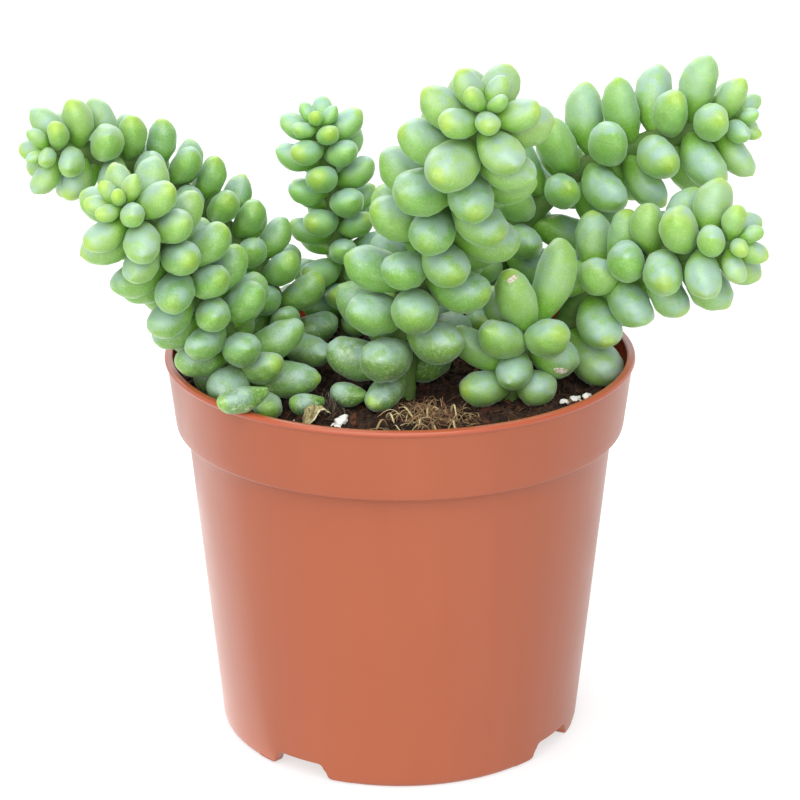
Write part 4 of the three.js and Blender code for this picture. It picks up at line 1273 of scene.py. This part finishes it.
def leaf_look(name, wash=None, washed=0.0):
    """The leaves' skin, for some fallen leaves washed over with another colour."""
    look = Look(
        name,
        Roughness=0.5,
        Subsurface_Weight=0.6,
        Subsurface_Radius=(0.9, 1.3, 0.2),
        Subsurface_Scale=0.0028,
        Sheen_Weight=0.4,
        Sheen_Roughness=0.3,
        Sheen_Tint=linear(216, 244, 226),
        Specular_IOR_Level=0.6,
    )
    from_tip, age, chance = look.tint("look")
    tone = look.fourth("look")
    pale = look.fourth("place_and_light")
    place, upward, low = look.tint("place_and_light")
    cloud = look.noise(420, 2)
    young = look.mix(tone, (158, 185, 86), (138, 179, 84))
    grown = look.mix(tone, (126, 168, 60), (102, 157, 58))
    shaded_old = look.mix(tone, (92, 132, 44), (72, 120, 52))
    body = look.mix(look.span(age, 0.0, 0.6), young, grown)
    # Lower down, and most on the shaded stems, the leaves are painted darker: painted shade, in a
    # dark green like that of old leaves.
    body = look.mix(low, body, shaded_old)
    # Pale stems are painted lighter: partly their own tint, partly painted light.
    body = look.mix(look.times(pale, 0.6), body, (142, 196, 116))
    if wash:
        body = look.mix(washed, body, wash)
    # Towards the root, below the skin and on the undersides is a fresher, deeper green: partly the
    # leaf's own colour, partly painted shade and a painted glow of light through the leaf in the
    # crevices.
    fresh_and_shade = look.mix(low, (112, 170, 38), (78, 126, 18))
    body = look.mix(look.span(place, 0.6, 0.2, 0.0, 0.9), body, fresh_and_shade)
    body = look.mix(look.span(upward, 0.6, 0.12, 0.0, 0.65), body, fresh_and_shade)
    # A pale bloom lies on the upper sides, rubbed off in places; laid on the sides that face up,
    # it is partly a painted highlight of the light from above.
    rubbed = look.span(look.noise(260, 3, 0.6), 0.36, 0.56, 0.34, 1.0)
    bloom_and_highlight = look.times(look.span(upward, 0.32, 0.8, 0.12, 0.86), rubbed)
    bloom_and_highlight = look.times(bloom_and_highlight, look.span(place, 0.3, 0.6))
    body = look.mix(bloom_and_highlight, body, look.mix(pale, (150, 178, 176), (144, 178, 182)))
    # A bright spot sits at the tip of many leaves.
    spot_edge = look.maths("ADD", from_tip, look.times(look.noise(700, 2), 0.1))
    spot = look.span(spot_edge, 0.25, 0.12)
    spot_colour = look.mix(age, (158, 188, 62), (118, 162, 28))
    strength = look.span(chance, 0.3, 0.65, 0.05, 0.85)
    body = look.mix(look.times(spot, strength), body, spot_colour)
    mottle = look.noise(2600, 3, 0.65)
    body = look.mix(look.span(mottle, 0.4, 0.7, 0.0, 0.42), body, (170, 196, 132))
    blotch = look.span(look.noise(900, 4, 0.7, distortion=0.4), 0.5, 0.7)
    blotch = look.times(blotch, look.span(low, 0.1, 0.8, 0.25, 0.75))
    body = look.mix(blotch, body, (176, 198, 156))
    flecks = look.noise(1900, 2, 0.6, distortion=0.8)
    fleck_share = look.times(look.span(flecks, 0.65, 0.7), look.span(low, 0.1, 0.6, 0.3, 1.0))
    body = look.mix(look.times(fleck_share, 0.45), body, (205, 210, 192))
    look.paint(body)
    look.gloss(look.span(mottle, 0.2, 0.8, 0.34, 0.5))
    look.bump(look.maths("ADD", mottle, look.times(cloud, 2.0)), 0.05, 0.5)
    return look


def stem_look():
    look = Look("stem_skin", Roughness=0.7)
    patch = look.noise(500, 4)
    colour = look.mix(look.span(patch, 0.35, 0.7), (85, 124, 53), (100, 121, 63))
    look.paint(look.mix(look.span(look.noise(1600, 2), 0.62, 0.8), colour, (124, 121, 85)))
    look.bump(patch, 0.3, 0.8)
    return look


# All of it is above 0.274, where the guides for denoising switch: across that, patches show.
WALL_ROUGHNESS = (0.285, 0.33)


def pot_look():
    look = Look("pot_plastic", Roughness=0.25, Specular_IOR_Level=0.5)
    place = look.node("ShaderNodeTexCoord").outputs["Object"]
    split = look.node("ShaderNodeSeparateXYZ", {"Vector": place})
    x, y, z = split.outputs
    from_axis = look.maths(
        "SQRT",
        look.maths("ADD", look.times(x, x), look.times(y, y)),
    )
    cloud = look.noise(26, 3)
    colour = look.mix(cloud, (156, 80, 48), (150, 75, 45))
    # Faint flow marks run up the wall.
    flow = look.noise(60, 3, stretch=(1.0, 1.0, 0.12))
    colour = look.mix(look.span(flow, 0.35, 0.75, 0.0, 0.3), colour, (162, 88, 60))
    # The rim is a thicker, deeper red.
    rim = look.span(z, (RIM_HEIGHT - 1.5) * MM, (RIM_HEIGHT - 0.9) * MM)
    colour = look.mix(look.times(rim, 0.6), colour, (172, 80, 52))
    # Inside, light through the thin wall reddens it above the soil, and dust lies on it.
    slope = (COLLAR_TOP - COLLAR_BOTTOM) / (RIM_HEIGHT - BEAD - COLLAR_Z)
    wall = look.times(z, slope)
    offset = (COLLAR_BOTTOM - WALL / 2 - COLLAR_Z * slope) * MM
    within = look.maths("LESS_THAN", from_axis, look.maths("ADD", wall, offset))
    inside = look.times(within, look.span(z, 73 * MM, 73.5 * MM))
    below_rim = look.span(z, (RIM_HEIGHT - 0.6) * MM, (RIM_HEIGHT - 1.1) * MM)
    inside = look.times(inside, below_rim)
    colour = look.mix(look.times(inside, 0.85), colour, (186, 62, 34))
    dust = look.maths(
        "MULTIPLY",
        look.span(look.noise(240, 5, 0.7), 0.42, 0.62),
        look.span(z, 87.0 * MM, 80.5 * MM, 0.15, 1.0),
    )
    dust = look.times(dust, inside)
    colour = look.mix(look.times(dust, 0.85), colour, (74, 44, 34))
    look.paint(colour)
    worn = look.span(look.noise(70, 3), 0.3, 0.7, *WALL_ROUGHNESS)
    look.gloss(look.maths("ADD", worn, look.times(dust, 0.5)))
    look.bump(flow, 0.06, 0.35)
    return look


def soil_look():
    look = Look("soil_mix", Roughness=0.92, Specular_IOR_Level=0.25)
    fine = look.noise(900, 4, 0.65)
    colour = look.mix(look.span(fine, 0.3, 0.7), (34, 25, 20), (66, 47, 36))
    red = look.span(look.noise(260, 3), 0.5, 0.68)
    colour = look.mix(look.times(red, 0.55), colour, (96, 54, 34))
    look.paint(colour)
    look.bump(fine, 0.5)
    return look


def crumb_look():
    look = Look("soil_crumb", Roughness=0.9, Specular_IOR_Level=0.25)
    tone, kind, pale = look.tint("look")
    fine = look.noise(1400, 3, 0.65)
    colour = look.mix(tone, (24, 18, 15), (62, 44, 34))
    colour = look.mix(look.span(kind, 0.84, 0.98), colour, (96, 56, 36))
    colour = look.mix(look.span(pale, 0.96, 1.0), colour, (140, 112, 86))
    look.paint(look.mix(look.span(fine, 0.3, 0.75, 0.0, 0.5), colour, (40, 28, 22)))
    look.bump(fine, 0.25)
    return look


def straw_look(name, dark, light, fade=0.5):
    look = Look(name, Roughness=0.75, Specular_IOR_Level=0.3)
    tone, _, _ = look.tint("look")
    grain = look.noise(2400, 3, 0.6)
    colour = look.mix(look.span(tone, 0.1, 0.9), dark, light)
    look.paint(look.mix(look.span(grain, 0.35, 0.75, 0.0, fade), colour, dark))
    look.bump(grain, 0.08, 0.8)
    return look


def perlite_look():
    look = Look("perlite_grain", Roughness=0.85, Subsurface_Weight=0.2, Subsurface_Scale=0.001)
    pits = look.noise(1900, 4, 0.7)
    colour = look.mix(look.span(pits, 0.25, 0.6), (206, 200, 190), (250, 248, 243))
    dirt = look.span(look.noise(500, 3), 0.62, 0.76)
    look.paint(look.mix(look.times(dirt, 0.5), colour, (128, 104, 84)))
    look.bump(pits, 0.3)
    return look


def dry_leaf_look():
    look = Look("dry_leaf_skin", Roughness=0.7, Specular_IOR_Level=0.35)
    edge, _, _ = look.tint("look")
    veins = look.noise(1500, 5, 0.75, stretch=(1.0, 1.0, 0.5))
    colour = look.mix(look.span(veins, 0.36, 0.64), (104, 92, 56), (184, 174, 124))
    colour = look.mix(look.span(look.noise(420, 3), 0.5, 0.68, 0.0, 0.6), colour, (92, 74, 46))
    look.paint(look.mix(look.span(edge, 0.8, 0.92), colour, (224, 216, 176)))
    look.bump(veins, 0.25)
    return look


def scar_look():
    look = Look("leaf_scar", Roughness=0.75, Specular_IOR_Level=0.3)
    cork = look.noise(1800, 4, 0.65)
    look.paint(look.mix(look.span(cork, 0.3, 0.65), (168, 146, 116), (226, 222, 208)))
    look.bump(cork, 0.1)
    return look


skin, bark = leaf_look("leaf_skin"), stem_look()
standing, fallen = leafy[: len(stems)], leafy[len(stems) :]
skin.on(*standing)
bark.on(*standing)
FALLEN_WASH = [
    ((50, 92, 30), 0.8),
    ((102, 132, 50), 0.5),
    ((98, 126, 100), 0.75),
    ((108, 138, 112), 0.7),
]
for leaf, (name, *_), (wash, washed) in zip(fallen, FALLEN_LEAVES, FALLEN_WASH):
    leaf_look(name + "_skin", wash, washed).on(leaf)
pot_look().on(pot)
soil_look().on(soil)
crumb_look().on(crumbs)
straw_look("root_fibre", (62, 42, 30), (128, 92, 62)).on(fibres)
straw_look("straw", (150, 122, 82), (214, 196, 150), 0.3).on(straw_bits)
straw_look("fibre_clump_look", (96, 70, 50), (190, 154, 116), 0.4).on(mesh_clump)
straw_look("dried_clump_look", (54, 46, 40), (118, 104, 88)).on(dark_clump)
straw_look("brown_clump_look", (84, 58, 42), (164, 126, 92)).on(brown_clump)
perlite_look().on(*perlite, specks)
dry_leaf_look().on(dry_leaf)
scar_look().on(*scars)

# ---------------------------------------------------------------- floor and light


def make_floor():
    """A sheet of paper that turns up behind the part."""
    size, flat, rise = 3000, 600, 900
    turns = np.linspace(0, math.pi / 2, 24)
    rows = [(-size, 0.0)]
    rows += [(flat + rise * math.sin(a), rise * (1 - math.cos(a))) for a in turns]
    rows.append((flat + rise, 3 * rise))
    points = [(x, y, z) for y, z in rows for x in (-size, size)]
    quads = [(2 * k, 2 * k + 1, 2 * k + 3, 2 * k + 2) for k in range(len(rows) - 1)]
    return new_object("floor", np.array(points), quads)


floor = make_floor()
# The paper glows, so that it comes out white and yet throws little light up at the pot.
paper = Look("floor_paper", Roughness=0.9, Emission_Color=(1, 1, 1, 1), Emission_Strength=0.62)
cloud = paper.span(paper.noise(40, 3), 0.3, 0.7)
paper.paint(paper.mix(cloud, (156, 156, 156), (153, 153, 153)))
paper.on(floor)

world = bpy.data.worlds.new("studio")
world.use_nodes = True
backdrop = world.node_tree.nodes["Background"].inputs
backdrop["Color"].default_value = (1.0, 1.0, 1.0, 1.0)
backdrop["Strength"].default_value = 0.42
bpy.context.scene.world = world


def soft_box(name, place, target, width, height, power):
    """A rectangular light. Millimetres and watts."""
    data = bpy.data.lights.new(name, "AREA")
    data.shape = "RECTANGLE"
    data.size, data.size_y = width * MM, height * MM
    data.energy = power
    made = bpy.data.objects.new(name, data)
    place = np.array(place, float)
    away = unit(place - np.array(target, float))
    right = np.cross(UP, away)
    right = unit(right) if np.linalg.norm(right) > 1e-6 else np.array([1.0, 0, 0])
    up = np.cross(away, right)
    made.matrix_world = Matrix([*np.stack([right, up, away, place * MM], 1), [0, 0, 0, 1]])
    bpy.context.scene.collection.objects.link(made)


# A wide soft sun from above and in front stands for the studio's big panel.
sun = bpy.data.lights.new("sky_panel", "SUN")
sun.energy = 4.0
sun.angle = math.radians(80)
sun_object = bpy.data.objects.new("sky_panel", sun)
sun_object.rotation_euler = (math.radians(50), 0, math.radians(-10))
bpy.context.scene.collection.objects.link(sun_object)
soft_box("back_panel", (-150, 520, 620), (0, 0, 110), 700, 450, 3.0)
# A dim card that stands on the floor: the pale band at the pot's left edge is its reflection.
soft_box("left_card", (-126, 58, 1), (-125.974, 58.097, 101), 234, 120, 0.055)

bpy.context.scene.view_settings.view_transform = "Standard"
